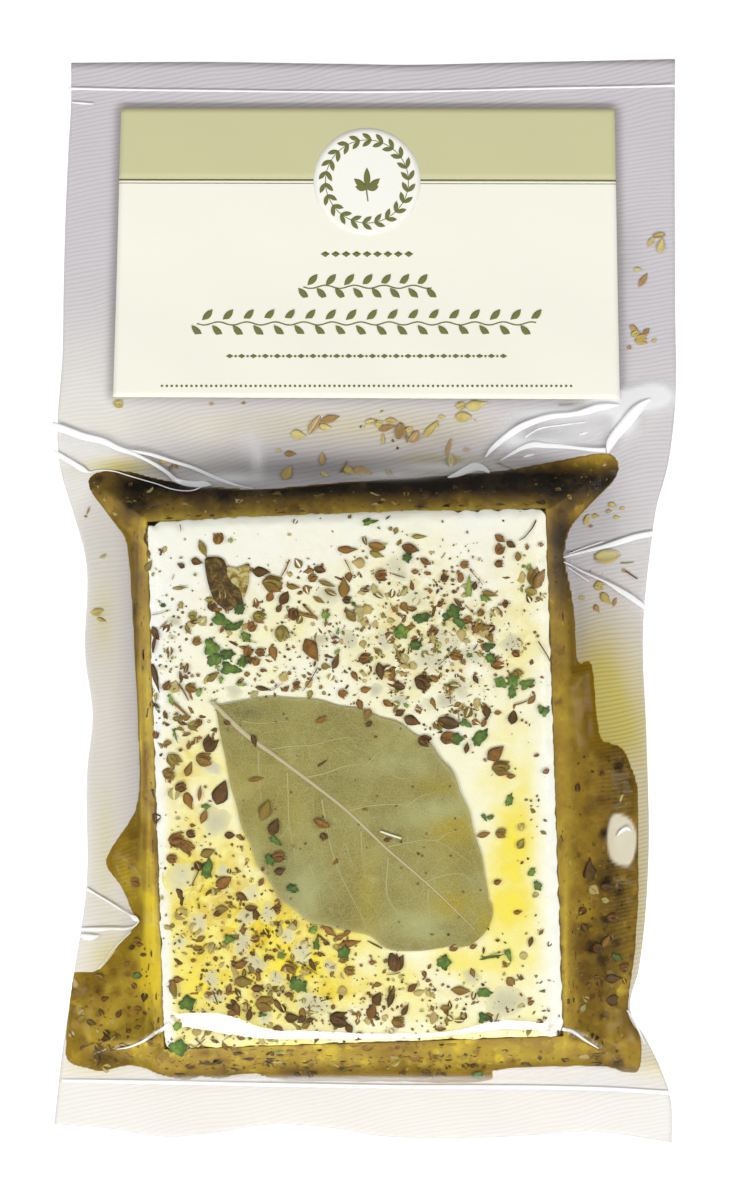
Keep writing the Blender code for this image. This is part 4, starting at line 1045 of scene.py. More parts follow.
def sunkenGroup():  # blurred small bits deep in the oil: a tone shift for each, 0 between them
    tree, ins, outs = groupTree("sunkenBits", [("Place", "NodeSocketVector", None),
                                               ("Scale", "NodeSocketFloat", 420.0),
                                               ("Reach", "NodeSocketFloat", 0.42),
                                               ("Strength", "NodeSocketFloat", 1.0),
                                               ("Softness", "NodeSocketFloat", 7.0)],
                                [("Shift", "NodeSocketFloat")])
    warp = addNode(tree, "ShaderNodeTexNoise", {"Vector": ins.outputs[0], "Scale": 900.0, "Detail": 1.0})
    bend = addNode(tree, "ShaderNodeVectorMath", {0: warp.outputs["Color"], 1: (0.0016, 0.0016, 0.0016)},
                   operation="MULTIPLY")
    moved = addNode(tree, "ShaderNodeVectorMath", {0: ins.outputs[0], 1: bend.outputs[0]}, operation="ADD")
    total = None
    for factor in (1.0, 2.1):
        cells = addNode(tree, "ShaderNodeTexVoronoi", {"Vector": moved.outputs[0], "Scale": mathNode(
            tree, "MULTIPLY", ins.outputs[1], factor)})
        inside = mathNode(tree, "MULTIPLY", mathNode(tree, "SUBTRACT", ins.outputs[2], cells.outputs["Distance"]),
                          ins.outputs[4], clamp=True)
        picked = addNode(tree, "ShaderNodeSeparateColor", {"Color": cells.outputs["Color"]})
        shift = mathNode(tree, "SUBTRACT", picked.outputs[0], 0.45)
        part = mathNode(tree, "MULTIPLY", mathNode(tree, "MULTIPLY", inside, shift), ins.outputs[3])
        total = part if total is None else mathNode(tree, "ADD", total, part)
    tree.links.new(total, outs.inputs[0])
    return tree


sunkenBits = sunkenGroup()


def oilTone(x, y):
    tone = 0.44 + zoneSum(x, y, toneZones) + 0.05 * ripple(x, y, 14, 21)
    gap = gapToBlock(x, y)
    px, py = toPhoto(x, y)
    nearBlock = smoothStep(1.0 - gap / 2.2) * (1.0 - smoothStep((px - 535) / 20.0))
    tone = tone - 0.22 * nearBlock * (1.0 - smoothStep((py - 560) / 40.0))
    return np.clip(tone, 0.0, 1.0)


def oilMaterial():
    material, tree, shader = newMaterial("herbOil", Roughness=0.45, **{"Specular IOR Level": 0.08})
    place = addNode(tree, "ShaderNodeMapping", {"Vector": objectPlace(tree), "Scale": (1.0, 1.0, 0.12)}).outputs[0]
    clouds = placeGroup(tree, mottle, {"Place": place, "Scale": 120.0, "Detail Scale": 1100.0, "Contrast": 2.4})
    pressed = placeGroup(tree, emboss, {"Place": place})
    tall = addNode(tree, "ShaderNodeMapping", {"Vector": place, "Scale": (1.0, 0.09, 0.2)})
    wide = addNode(tree, "ShaderNodeMapping", {"Vector": place, "Scale": (0.12, 1.0, 0.2)})
    tallStreak = addNode(tree, "ShaderNodeTexNoise", {"Vector": tall.outputs[0], "Scale": 800.0, "Detail": 2.0})
    wideStreak = addNode(tree, "ShaderNodeTexNoise", {"Vector": wide.outputs[0], "Scale": 700.0, "Detail": 2.0})
    sunk = placeGroup(tree, sunkenBits, {"Place": place, "Scale": 330.0, "Reach": 0.34, "Strength": 0.4,
                                         "Softness": 5.0})
    sideways = attributeNode(tree, "sideways")
    tone = attributeNode(tree, "tone")
    layers = ((clouds.outputs["Patches"], 0.22), (clouds.outputs["Grain"], 0.14))
    for value, weight in layers:
        tone = mathNode(tree, "ADD", tone, mathNode(tree, "MULTIPLY", mathNode(tree, "SUBTRACT", value, 0.5), weight))
    streak = addNode(tree, "ShaderNodeMix", {0: sideways, 2: tallStreak.outputs["Fac"], 3: wideStreak.outputs["Fac"]})
    tone = mathNode(tree, "ADD", tone, mathNode(tree, "MULTIPLY", mathNode(tree, "SUBTRACT", streak.outputs[0], 0.5),
                                                mathNode(tree, "MULTIPLY", attributeNode(tree, "streaky"), 1.1)))
    blots = placeGroup(tree, sunkenBits, {"Place": place, "Scale": 150.0, "Reach": 0.5, "Strength": 0.6,
                                          "Softness": 2.5})
    bits = mathNode(tree, "ADD", sunk.outputs["Shift"], blots.outputs["Shift"])
    calm = mathNode(tree, "SUBTRACT", 1.0, mathNode(tree, "MULTIPLY", attributeNode(tree, "streaky"), 0.8))
    calm = mathNode(tree, "SUBTRACT", calm, mathNode(tree, "MULTIPLY", attributeNode(tree, "clean"), 0.7), clamp=True)
    tone = mathNode(tree, "ADD", tone, mathNode(tree, "MULTIPLY", bits, calm))
    tone = mathNode(tree, "ADD", tone, mathNode(tree, "MULTIPLY", pressed.outputs["Pressed"], mathNode(
        tree, "MULTIPLY", attributeNode(tree, "shallow"), 0.24)), clamp=True)
    colour = mixColour(tree, attributeNode(tree, "bubble"), rampNode(tree, tone, oilFinish), oilBubble)
    tree.links.new(colour, shader.inputs["Base Color"])
    bump = addBump(tree, shader, clouds.outputs["Grain"], 0.15, 0.0003)
    surface = addNode(tree, "ShaderNodeNewGeometry")
    leaned = addNode(tree, "ShaderNodeVectorMath", {0: surface.outputs["Normal"], 1: oilLean}, operation="MULTIPLY")
    upright = addNode(tree, "ShaderNodeVectorMath", {0: leaned.outputs[0]}, operation="NORMALIZE")
    tree.links.new(upright.outputs[0], bump.inputs["Normal"])
    clear = addNode(tree, "ShaderNodeBsdfTransparent", {"Color": (*oilTint, 1.0)})
    whole = addNode(tree, "ShaderNodeMixShader", {0: attributeNode(tree, "cover"), 1: clear.outputs[0],
                                                  2: shader.outputs[0]})
    tree.links.new(whole.outputs[0], tree.nodes["Material Output"].inputs["Surface"])
    return material


def cellMiddle(grid):
    return (grid[:-1, :-1] + grid[1:, :-1] + grid[:-1, 1:] + grid[1:, 1:]) / 4


def herbOilMesh():
    x, y = pouchGrid(48, 90, 48, 54, 220, 150)
    high = oilTop(x, y)
    low = np.minimum(underside(x, y) + 0.03, high - 0.02)
    depth = depthInside(x, y, smoothOil) + oilSizes["spread"]
    bubble = depthInside(x, y, bubbleOutline)
    inside = wallShare(x, y)[1]
    keep = cellMiddle(depth) > -oilSizes["overlap"]
    keep &= cellMiddle(inside) > -oilSizes["innerCut"]
    inBubble = smoothStep((bubble + 0.3) / 0.6)
    bottom = np.where(inside < -0.2, cheeseTop(x, y), underside(x, y) + backSizes["thick"])
    cover = (1.0 - np.exp(-np.maximum(high - bottom, 0.0) / 1.1)) * 0.99
    outside = wallShare(x, y)[0]
    across, along = toBlock(x, y)
    over = np.abs(along) > form["blockLength"] / 2 - 1.0
    atEdge = np.clip(zoneSum(x, y, coverZones), 0.0, 1.0) * smoothStep(depth / 0.5) * (inside > -0.2)
    cover = np.maximum(cover, 0.97 * np.maximum(atEdge, inBubble))
    leftWall = smoothStep(-across - form["blockWidth"] / 2 + 1.0)
    shallow = smoothStep((outside - 0.9) / 0.4) * zoneSum(x, y, [(118, 870, 20, 45, 1.0), (622, 780, 24, 40, 1.0),
                                                                 (626, 915, 18, 55, 0.9), (100, 960, 30, 20, 0.5)])
    values = {"tone": oilTone(x, y), "cover": cover, "sideways": over.astype(float),
              "streaky": smoothStep((1.25 - outside) / 0.4) * (0.06 + 0.6 * leftWall * ~over),
              "clean": np.clip(zoneSum(x, y, [(572, 790, 20, 200, 1.1), (598, 740, 24, 60, 0.6),
                                              (330, 485, 360, 24, 0.8)]), 0, 1),
              "bubble": inBubble, "shallow": np.clip(shallow, 0, 1)}
    return newMesh("herbOil", *sheetParts(x, y, high, low, keep, values))


marinade = newPiece("herbOil", herbOilMesh(), oilMaterial())
print("herb oil made")


# bay leaf

leafSizes = {"thick": 0.18, "along": 200, "across": 90, "above": 0.3, "wave": 0.14, "veinRise": 0.05,
             "ribRise": 0.16, "tipStart": 0.92, "tipHalf": 6.2, "tipCut": 0.022}
leafPatches = {  # photo x, photo y, reach x, reach y, amount
    "pale": [(304, 888, 24, 32, 0.85), (437, 808, 34, 13, 0.8), (410, 762, 42, 16, 0.45), (420, 925, 30, 18, 0.6),
             (470, 878, 16, 12, 0.6), (373, 878, 6, 5, 0.9), (395, 820, 40, 10, 0.25)],
    "yellow": [(454, 828, 26, 15, 1.0), (366, 895, 13, 44, 0.8), (452, 902, 24, 15, 0.9), (436, 785, 26, 10, 0.8),
               (290, 800, 18, 44, 0.35), (484, 922, 10, 22, 1.1), (236, 790, 12, 40, 0.4), (462, 860, 26, 40, 0.6),
               (260, 790, 14, 40, 0.3)],
    "dark": [(246, 712, 26, 9, 0.8), (283, 858, 16, 20, 0.5), (448, 925, 16, 5, 0.35), (335, 782, 50, 12, 0.25),
             (390, 832, 24, 9, 0.3), (430, 786, 22, 8, 0.2), (232, 740, 8, 26, 0.2), (466, 866, 22, 36, 0.4)],
}
leafVeins = [  # photo x, photo y along each side vein
    [(243, 720), (255, 722), (290, 720)], [(272, 748), (290, 745), (312, 744), (332, 739), (352, 738), (357, 747)],
    [(306, 776), (325, 772), (345, 765), (367, 763), (385, 770), (402, 777), (425, 775)],
    [(367, 763), (376, 754), (392, 743)], [(347, 809), (372, 804), (407, 804), (430, 812), (460, 813)],
    [(388, 845), (405, 841), (436, 839), (455, 850), (470, 862)], [(425, 880), (440, 874), (460, 872), (477, 881)],
    [(259, 748), (260, 775), (262, 800)], [(288, 770), (289, 800), (290, 825), (294, 845), (297, 862)],
    [(290, 825), (280, 836)], [(322, 797), (326, 820), (332, 848), (342, 875), (352, 895), (362, 915), (368, 930)],
    [(388, 854), (389, 898), (400, 914), (412, 930), (421, 944)], [(428, 885), (428, 905), (436, 925), (450, 935)],
    [(361, 828), (362, 850), (365, 875)], [(309, 860), (318, 885), (322, 905)], [(345, 840), (352, 860)],
    [(400, 914), (390, 922)], [(407, 804), (418, 796), (436, 790)], [(436, 839), (446, 832), (462, 828)],
]
leafRib = [(212, 700, 0.8), (232, 720, 1.0), (250, 736, 0.95), (271, 751, 0.85), (305, 776, 0.7), (347, 809, 0.6),
           (386, 846, 0.5), (430, 884, 0.38), (474, 927, 0.2)]


def leafTop(x, y):
    share, across, _ = leafPlace(x, y)
    return cheeseTop(x, y) + leafSizes["above"] + 0.14 + leafSizes["wave"] * np.sin(9.0 * share + 2.2 * across)


def bayLeafMesh():
    sizes = leafSizes
    (sx, sy), (tx, ty) = leafForm["stalk"], leafForm["tip"]
    length = math.hypot(tx - sx, ty - sy)
    ux, uy = (tx - sx) / length, (ty - sy) / length
    t, s = np.meshgrid(np.linspace(0.0, 1.0, sizes["along"] + 1), np.linspace(-1.0, 1.0, sizes["across"] + 1),
                       indexing="ij")
    width = np.where(s > 0, smoothThrough(leafForm["outer"], t), smoothThrough(leafForm["inner"], t))
    width = width * (1.0 + 0.012 * np.sin(t * 60.0 + 2.0 * s))
    pastStart = np.maximum(t - sizes["tipStart"], 0.0) / (1.0 - sizes["tipStart"])
    width = np.maximum(width, sizes["tipHalf"] * np.sqrt(1.0 - pastStart ** 2) * (pastStart > 0.0))  # a rounded tip
    t = t - sizes["tipCut"] * pastStart
    x = sx + ux * t * length - uy * s * width
    y = sy + uy * t * length + ux * s * width
    z = leafTop(x, y)
    patches = {key: np.clip(zoneSum(x, y, zones), 0, 1) for key, zones in leafPatches.items()}
    return newMesh("bayLeaf", *sheetParts(x, y, z, z - sizes["thick"], attributes={"leafAcross": s, **patches}))


def bayLeafMaterial():
    material, tree, shader = newMaterial("bayLeaf", Roughness=0.5, **{"Specular IOR Level": 0.2})
    place = objectPlace(tree)
    patches = placeGroup(tree, mottle, {"Place": place, "Scale": 90.0, "Detail Scale": 1600.0, "Contrast": 2.4})
    cells = addNode(tree, "ShaderNodeTexVoronoi", {"Vector": place, "Scale": 1500.0}, feature="DISTANCE_TO_EDGE")
    net = mathNode(tree, "MULTIPLY", cells.outputs["Distance"], 6.0, clamp=True)
    coarse = addNode(tree, "ShaderNodeTexVoronoi", {"Vector": place, "Scale": 260.0}, feature="DISTANCE_TO_EDGE")
    fineVeins = mathNode(tree, "SUBTRACT", 1.0, mathNode(tree, "MULTIPLY", coarse.outputs["Distance"], 22.0,
                                                         clamp=True), clamp=True)
    dots = addNode(tree, "ShaderNodeTexVoronoi", {"Vector": place, "Scale": 330.0})
    dotted = mathNode(tree, "MULTIPLY", mathNode(tree, "SUBTRACT", 0.13, dots.outputs["Distance"]), 16.0, clamp=True)
    colour = rampNode(tree, patches.outputs["Patches"], [(0.0, (0.22, 0.19, 0.045)), (0.5, (0.29, 0.255, 0.07)),
                                                         (1.0, (0.36, 0.335, 0.115))])
    for name, amount, tint in (("pale", 0.75, (0.45, 0.47, 0.23)), ("yellow", 0.85, (0.38, 0.29, 0.025)),
                               ("dark", 0.8, (0.115, 0.105, 0.035))):
        share = mathNode(tree, "MULTIPLY", attributeNode(tree, name), mathNode(
            tree, "ADD", mathNode(tree, "MULTIPLY", patches.outputs["Patches"], 0.6), amount - 0.3), clamp=True)
        colour = mixColour(tree, share, colour, tint)
    colour = mixColour(tree, mathNode(tree, "MULTIPLY", fineVeins, 0.17), colour, (0.5, 0.47, 0.26))
    colour = mixColour(tree, mathNode(tree, "MULTIPLY", mathNode(tree, "SUBTRACT", 1.0, net), 0.3), colour,
                       (0.47, 0.44, 0.22))
    colour = mixColour(tree, mathNode(tree, "MULTIPLY", dotted, 0.75), colour, (0.07, 0.06, 0.03))
    edge = mathNode(tree, "POWER", mathNode(tree, "ABSOLUTE", attributeNode(tree, "leafAcross")), 40.0)
    colour = mixColour(tree, mathNode(tree, "MULTIPLY", edge, 0.6), colour, (0.6, 0.52, 0.26))
    tree.links.new(colour, shader.inputs["Base Color"])
    addBump(tree, shader, net, 0.25, 0.00025)
    return material


def lineParts(route, surface, rise, thick, values=None):  # a thin raised line: photo x, photo y, width in millimetres
    rows = smoothRoute([(*fromPhoto(px, py), width) for px, py, width in route], 0.5)
    dx, dy = np.gradient(rows[:, 0]), np.gradient(rows[:, 1])
    half = rows[:, 2] / 2 / np.hypot(dx, dy)
    offs = np.linspace(-1.0, 1.0, 5)
    xs = rows[:, :1] - (dy * half)[:, None] * offs
    ys = rows[:, 1:2] + (dx * half)[:, None] * offs
    high = surface(xs, ys) + rise * (1.0 - 0.7 * offs ** 2)
    attributes = {"bladeAcross": np.tile(offs, (len(rows), 1))}
    for key, value in (values or {}).items():
        attributes[key] = np.full(xs.shape, value)
    return sheetParts(xs, ys, high, high - thick, attributes=attributes)


def veinRoute(places):  # a side vein, thinner towards its end
    return [(px, py, 0.34 - 0.22 * k / (len(places) - 1)) for k, (px, py) in enumerate(places)]


def veinMaterial():
    material, tree, shader = newMaterial("leafVein", Roughness=0.5, **{"Specular IOR Level": 0.2})
    patches = placeGroup(tree, mottle, {"Place": objectPlace(tree), "Scale": 200.0, "Detail Scale": 2400.0})
    colour = mixColour(tree, mathNode(tree, "MULTIPLY", patches.outputs["Patches"], 0.7), (0.55, 0.46, 0.3),
                       (0.44, 0.41, 0.2))
    colour = mixColour(tree, attributeNode(tree, "side"), colour, (0.4, 0.38, 0.165))
    tree.links.new(colour, shader.inputs["Base Color"])
    addBump(tree, shader, patches.outputs["Grain"], 0.2, 0.0001)
    return material


bayLeaf = newPiece("bayLeaf", bayLeafMesh(), bayLeafMaterial())
veinParts = [lineParts(veinRoute(places), leafTop, leafSizes["veinRise"], 0.08, {"side": 1.0}) for places in leafVeins]
veinParts.append(lineParts(leafRib, leafTop, leafSizes["ribRise"], 0.1, {"side": 0.0}))
bayLeafVeins = newPiece("bayLeafVeins", newMesh("bayLeafVeins", *joinParts(veinParts)), veinMaterial())
print("bay leaf made")


# label

def labelPlace(shareX, shareY):  # shares from the upper left corner, right and down
    upperLeft, upperRight, lowerRight, lowerLeft = (np.array(c) for c in labelSizes["corners"])
    shareX, shareY = np.asarray(shareX, float)[..., None], np.asarray(shareY, float)[..., None]
    place = (upperLeft * (1 - shareX) + upperRight * shareX) * (1 - shareY)
    place = place + (lowerLeft * (1 - shareX) + lowerRight * shareX) * shareY
    return place[..., 0], place[..., 1]


def labelTop(x, y):
    return underside(x, y) + form["marginThick"] + labelSizes["above"] + labelSizes["thick"]


def paperMaterial(name, colour, shade):
    material, tree, shader = newMaterial(name, Roughness=0.62, **{"Specular IOR Level": 0.2})
    place = objectPlace(tree)
    fibre = placeGroup(tree, mottle, {"Place": place, "Scale": 60.0, "Detail Scale": 2600.0, "Contrast": 1.2})
    mixed = mixColour(tree, mathNode(tree, "MULTIPLY", fibre.outputs["Grain"], 0.5), colour, shade)
    mixed = mixColour(tree, mathNode(tree, "MULTIPLY", fibre.outputs["Patches"], 0.2), mixed, shade)
    tree.links.new(mixed, shader.inputs["Base Color"])
    addBump(tree, shader, fibre.outputs["Grain"], 0.15, 0.0001)
    return material


def gridPlace(left, right, top, bottom, columns, rows):
    return labelPlace(*np.meshgrid(np.linspace(left, right, columns + 1), np.linspace(bottom, top, rows + 1)))


labelX, labelY = gridPlace(0, 1, 0, 1, labelSizes["columns"], labelSizes["rows"])
labelHigh = labelTop(labelX, labelY)
paper = newPiece("paperLabel", newMesh("paperLabel", *sheetParts(labelX, labelY, labelHigh,
                                                                 labelHigh - labelSizes["thick"])),
                 paperMaterial("labelPaper", (0.93, 0.915, 0.8), (0.89, 0.87, 0.75)))
print("label made")


# print on the label: a pale green band, rules, a leaf wreath and rows of leaves

printSizes = {"rise": 0.03, "bandEnd": 0.243, "ruleStart": 0.2445, "ruleEnd": 0.2515, "hairStart": 0.2585,
              "hairEnd": 0.261, "discMiddle": (367, 179), "discRadius": 11.2, "wreathRadius": 8.7, "wreathLeaves": 22}


def printBand(left, right, top, bottom, columns=90, rows=4):
    x, y = gridPlace(left, right, top, bottom, columns, rows)
    high = labelTop(x, y) + printSizes["rise"]
    return sheetParts(x, y, high, high - printSizes["rise"] * 0.8)


band = newPiece("labelBand", newMesh("labelBand", *printBand(0, 1, 0, printSizes["bandEnd"], 90, 12)),
                paperMaterial("bandPrint", (0.62, 0.6, 0.35), (0.57, 0.55, 0.31)))
olivePrint = paperMaterial("olivePrint", (0.155, 0.17, 0.045), (0.2, 0.21, 0.07))
rules = newPiece("labelRules", newMesh("labelRules", *joinParts([
    printBand(0, 1, printSizes["ruleStart"], printSizes["ruleEnd"], 90, 1),
    printBand(0, 1, printSizes["hairStart"], printSizes["hairEnd"], 90, 1)])), olivePrint)


def discOutline(middle, radius, count):
    turns = [2 * math.pi * k / count for k in range(count)]
    return [(middle[0] + radius * math.cos(turn), middle[1] + radius * math.sin(turn)) for turn in turns]


discMiddle = fromPhoto(*printSizes["discMiddle"])
discHigh = (lambda x, y, rim: labelTop(x, y) + 2.4 * printSizes["rise"])
discLow = (lambda x, y, rim: labelTop(x, y) + 0.2 * printSizes["rise"])
disc = newPiece("labelDisc", newMesh("labelDisc", *discParts(
    discMiddle, discOutline(discMiddle, printSizes["discRadius"], 96), 10, discHigh, discLow)),
    paperMaterial("discPaper", (0.95, 0.94, 0.87), (0.91, 0.9, 0.82)))
print("print fields made")


# geometry nodes: one tree sets shapes on given points, the other strews them over a surface

def geometryTree(name, inputs):
    tree = bpy.data.node_groups.new(name, "GeometryNodeTree")
    tree.interface.new_socket("Geometry", in_out="INPUT", socket_type="NodeSocketGeometry")
    for key, kind, value in inputs:
        socket = tree.interface.new_socket(key, in_out="INPUT", socket_type=kind)
        if value is not None:
            socket.default_value = value
    tree.interface.new_socket("Geometry", in_out="OUTPUT", socket_type="NodeSocketGeometry")
    return tree, tree.nodes.new("NodeGroupInput"), tree.nodes.new("NodeGroupOutput")


def namedValue(tree, name, kind):
    return addNode(tree, "GeometryNodeInputNamedAttribute", {"Name": name}, data_type=kind).outputs["Attribute"]


def endTree(tree, ins, outs, points, index, turn, size):
    shapes = addNode(tree, "GeometryNodeCollectionInfo", {"Collection": ins.outputs["Shapes"],
                                                          "Separate Children": True, "Reset Children": True})
    placed = addNode(tree, "GeometryNodeInstanceOnPoints", {
        "Points": points, "Instance": shapes.outputs[0], "Pick Instance": True, "Instance Index": index,
        "Rotation": turn, "Scale": size})
    real = addNode(tree, "GeometryNodeRealizeInstances", {"Geometry": placed.outputs[0]})
    finished = addNode(tree, "GeometryNodeSetMaterial", {"Geometry": real.outputs[0],
                                                         "Material": ins.outputs["Finish"]})
    tree.links.new(finished.outputs[0], outs.inputs[0])


def placeTree():
    tree, ins, outs = geometryTree("setPieces", [("Shapes", "NodeSocketCollection", None),
                                                 ("Finish", "NodeSocketMaterial", None)])
    turn = addNode(tree, "FunctionNodeEulerToRotation", {0: namedValue(tree, "turn", "FLOAT_VECTOR")})
    endTree(tree, ins, outs, ins.outputs[0], namedValue(tree, "shape", "INT"), turn.outputs[0],
            namedValue(tree, "size", "FLOAT_VECTOR"))
    return tree


def randomValue(tree, kind, low, high, seed):
    made = addNode(tree, "FunctionNodeRandomValue", data_type=kind)
    sockets = {"FLOAT_VECTOR": (0, 1, 0), "FLOAT": (2, 3, 1), "INT": (4, 5, 2)}[kind]
    for socket, value in ((made.inputs[sockets[0]], low), (made.inputs[sockets[1]], high), (made.inputs["Seed"], seed)):
        if isinstance(value, bpy.types.NodeSocket):
            tree.links.new(value, socket)
        else:
            socket.default_value = value
    return made.outputs[sockets[2]]


def strewTree():
    tree, ins, outs = geometryTree("strewPieces", [
        ("Shapes", "NodeSocketCollection", None), ("Finish", "NodeSocketMaterial", None),
        ("Shape Count", "NodeSocketInt", 4), ("Per Square Metre", "NodeSocketFloat", 20000.0),
        ("Smallest", "NodeSocketFloat", 0.8), ("Largest", "NodeSocketFloat", 2.6),
        ("Narrowest", "NodeSocketFloat", 0.35), ("Widest", "NodeSocketFloat", 0.75),
        ("Tilt", "NodeSocketFloat", 0.1), ("Sink", "NodeSocketFloat", 0.0001), ("Seed", "NodeSocketInt", 1)])
    amount = addNode(tree, "ShaderNodeMath", {0: namedValue(tree, "share", "FLOAT"),
                                              1: ins.outputs["Per Square Metre"]}, operation="MULTIPLY")
    strewn = addNode(tree, "GeometryNodeDistributePointsOnFaces", {
        "Mesh": ins.outputs[0], "Density": amount.outputs[0], "Seed": ins.outputs["Seed"]})
    seeds = [addNode(tree, "FunctionNodeIntegerMath", {0: ins.outputs["Seed"], 1: k}).outputs[0] for k in range(1, 7)]
    size = addNode(tree, "ShaderNodeMath", {0: randomValue(tree, "FLOAT", 0.0, 1.0, seeds[0]), 1: 1.7},
                   operation="POWER")
    size = addNode(tree, "ShaderNodeMapRange", {"Value": size.outputs[0], "To Min": ins.outputs["Smallest"],
                                                "To Max": ins.outputs["Largest"]})
    slim = randomValue(tree, "FLOAT", ins.outputs["Narrowest"], ins.outputs["Widest"], seeds[1])
    wide = addNode(tree, "ShaderNodeMath", {0: size.outputs[0], 1: slim}, operation="MULTIPLY")
    scale = addNode(tree, "ShaderNodeCombineXYZ", {0: size.outputs[0], 1: wide.outputs[0], 2: size.outputs[0]})
    lean = addNode(tree, "ShaderNodeMath", {0: ins.outputs["Tilt"], 1: -1.0}, operation="MULTIPLY")
    low = addNode(tree, "ShaderNodeCombineXYZ", {0: lean.outputs[0], 1: lean.outputs[0], 2: -math.pi})
    high = addNode(tree, "ShaderNodeCombineXYZ", {0: ins.outputs["Tilt"], 1: ins.outputs["Tilt"], 2: math.pi})
    spin = addNode(tree, "FunctionNodeEulerToRotation", {
        0: randomValue(tree, "FLOAT_VECTOR", low.outputs[0], high.outputs[0], seeds[2])})
    turned = addNode(tree, "FunctionNodeRotateRotation", {0: strewn.outputs["Rotation"], 1: spin.outputs[0]},
                     rotation_space="LOCAL")
    toned = addNode(tree, "GeometryNodeStoreNamedAttribute", {
        "Geometry": strewn.outputs["Points"], "Name": "tone",
        "Value": randomValue(tree, "FLOAT", 0.0, 1.0, seeds[3])}, data_type="FLOAT", domain="POINT")
    drop = addNode(tree, "ShaderNodeMath", {0: randomValue(tree, "FLOAT", 0.0, 1.0, seeds[4]),
                                            1: ins.outputs["Sink"]}, operation="MULTIPLY")
    drop = addNode(tree, "ShaderNodeMath", {0: drop.outputs[0], 1: -1.0}, operation="MULTIPLY")
    down = addNode(tree, "ShaderNodeCombineXYZ", {2: drop.outputs[0]})
    moved = addNode(tree, "GeometryNodeSetPosition", {"Geometry": toned.outputs[0], "Offset": down.outputs[0]})
    last = addNode(tree, "FunctionNodeIntegerMath", {0: ins.outputs["Shape Count"], 1: -1})
    index = randomValue(tree, "INT", 0, last.outputs[0], seeds[5])
    endTree(tree, ins, outs, moved.outputs[0], index, turned.outputs[0], scale.outputs[0])
    return tree


setPieces = placeTree()
strewPieces = strewTree()


def runTree(name, mesh, tree, values):  # the tree's result as a plain mesh in a new piece
    carrier = bpy.data.objects.new(name, mesh)
    bpy.context.scene.collection.objects.link(carrier)
    modifier = carrier.modifiers.new("made", "NODES")
    modifier.node_group = tree
    for item in tree.interface.items_tree:
        if item.in_out == "INPUT" and item.name in values:
            modifier[item.identifier] = values[item.name]
    depsgraph = bpy.context.evaluated_depsgraph_get()
    made = bpy.data.meshes.new_from_object(carrier.evaluated_get(depsgraph), depsgraph=depsgraph)
    made.name = name
    carrier.modifiers.remove(modifier)
    bpy.data.objects.remove(carrier)
    made.shade_smooth()
    return newPiece(name, made, None)


def shapeShelf(name, shapes):  # shapes a millimetre long, kept off the scene
    shelf = bpy.data.collections.new(name)
    for number, parts in enumerate(shapes):
        mesh = newMesh(f"{name}{number:02d}", *parts)
        shelf.objects.link(bpy.data.objects.new(f"{name}{number:02d}", mesh))
    return shelf


def leafletParts(outline, fold, curl, twist=0.0, along=6, across=4, thick=0.05):
    t, s = np.meshgrid(np.linspace(0.0, 1.0, along + 1), np.linspace(-1.0, 1.0, across + 1), indexing="ij")
    half = 0.5 * np.maximum(smoothThrough(outline, t), 0.03)
    x, y = t - 0.5, half * s + (0.12 + 0.5 * twist) * ((t - 0.5) ** 2 - 0.08)
    z = fold * np.abs(s) * half + curl * (t - 0.5) ** 2 + twist * (t - 0.5) * s * half
    z = z - z.mean()
    return sheetParts(x, y, z + thick / 2, z - thick / 2, attributes={"bladeAlong": t, "bladeAcross": s})


def lobedParts(lobes, depth, teeth, ripples, thick=0.05, count=30, rings=3):
    turns = np.array([2 * math.pi * k / count for k in range(count)])
    notch = (1.0 - np.abs(np.cos(lobes * turns / 2.0))) ** 0.7
    fan = 0.9 + 0.18 * np.cos(turns) + 0.08 * np.sin(3.0 * turns + teeth)
    reach = 0.5 * fan * (1.0 - depth * notch) * (1.0 + 0.07 * np.cos(teeth * turns))
    outline = np.column_stack([reach * np.cos(turns), reach * np.sin(turns)])
    top = (lambda x, y, rim: ripples * np.sin(9 * x + 2) * np.cos(8 * y) * rim + thick / 2)
    bottom = (lambda x, y, rim: ripples * np.sin(9 * x + 2) * np.cos(8 * y) * rim - thick / 2)
    points, faces, values = discParts((0.0, 0.0), outline, rings, top, bottom)
    return points, faces, {"bladeAlong": points[:, 0] + 0.5, "bladeAcross": values["rim"]}


pointed = [(0.0, 0.02), (0.2, 0.55), (0.45, 0.95), (0.7, 0.62), (0.9, 0.2), (1.0, 0.01)]
ovate = [(0.0, 0.06), (0.1, 0.5), (0.3, 0.98), (0.5, 0.9), (0.75, 0.52), (0.92, 0.16), (1.0, 0.01)]
slim = [(0.0, 0.3), (0.3, 1.0), (0.7, 0.9), (1.0, 0.25)]
torn = [(0.0, 0.35), (0.2, 0.8), (0.45, 1.0), (0.7, 0.5), (1.0, 0.08)]
blunt = [(0.0, 0.08), (0.15, 0.62), (0.4, 1.0), (0.7, 0.72), (0.9, 0.26), (1.0, 0.02)]
driedShapes = shapeShelf("driedShape", [
    leafletParts(pointed, 0.25, 0.1), leafletParts(ovate, 0.3, 0.15), leafletParts(slim, 0.7, 0.12, 0.2),
    leafletParts(torn, -0.25, -0.1, 0.3), leafletParts(blunt, 0.2, -0.12), leafletParts(ovate, -0.35, 0.1, -0.4)])
greenShapes = shapeShelf("greenShape", [
    lobedParts(5, 0.32, 11, 0.06), lobedParts(7, 0.3, 13, 0.08), lobedParts(3, 0.4, 8, 0.1),
    lobedParts(6, 0.22, 9, 0.12)])
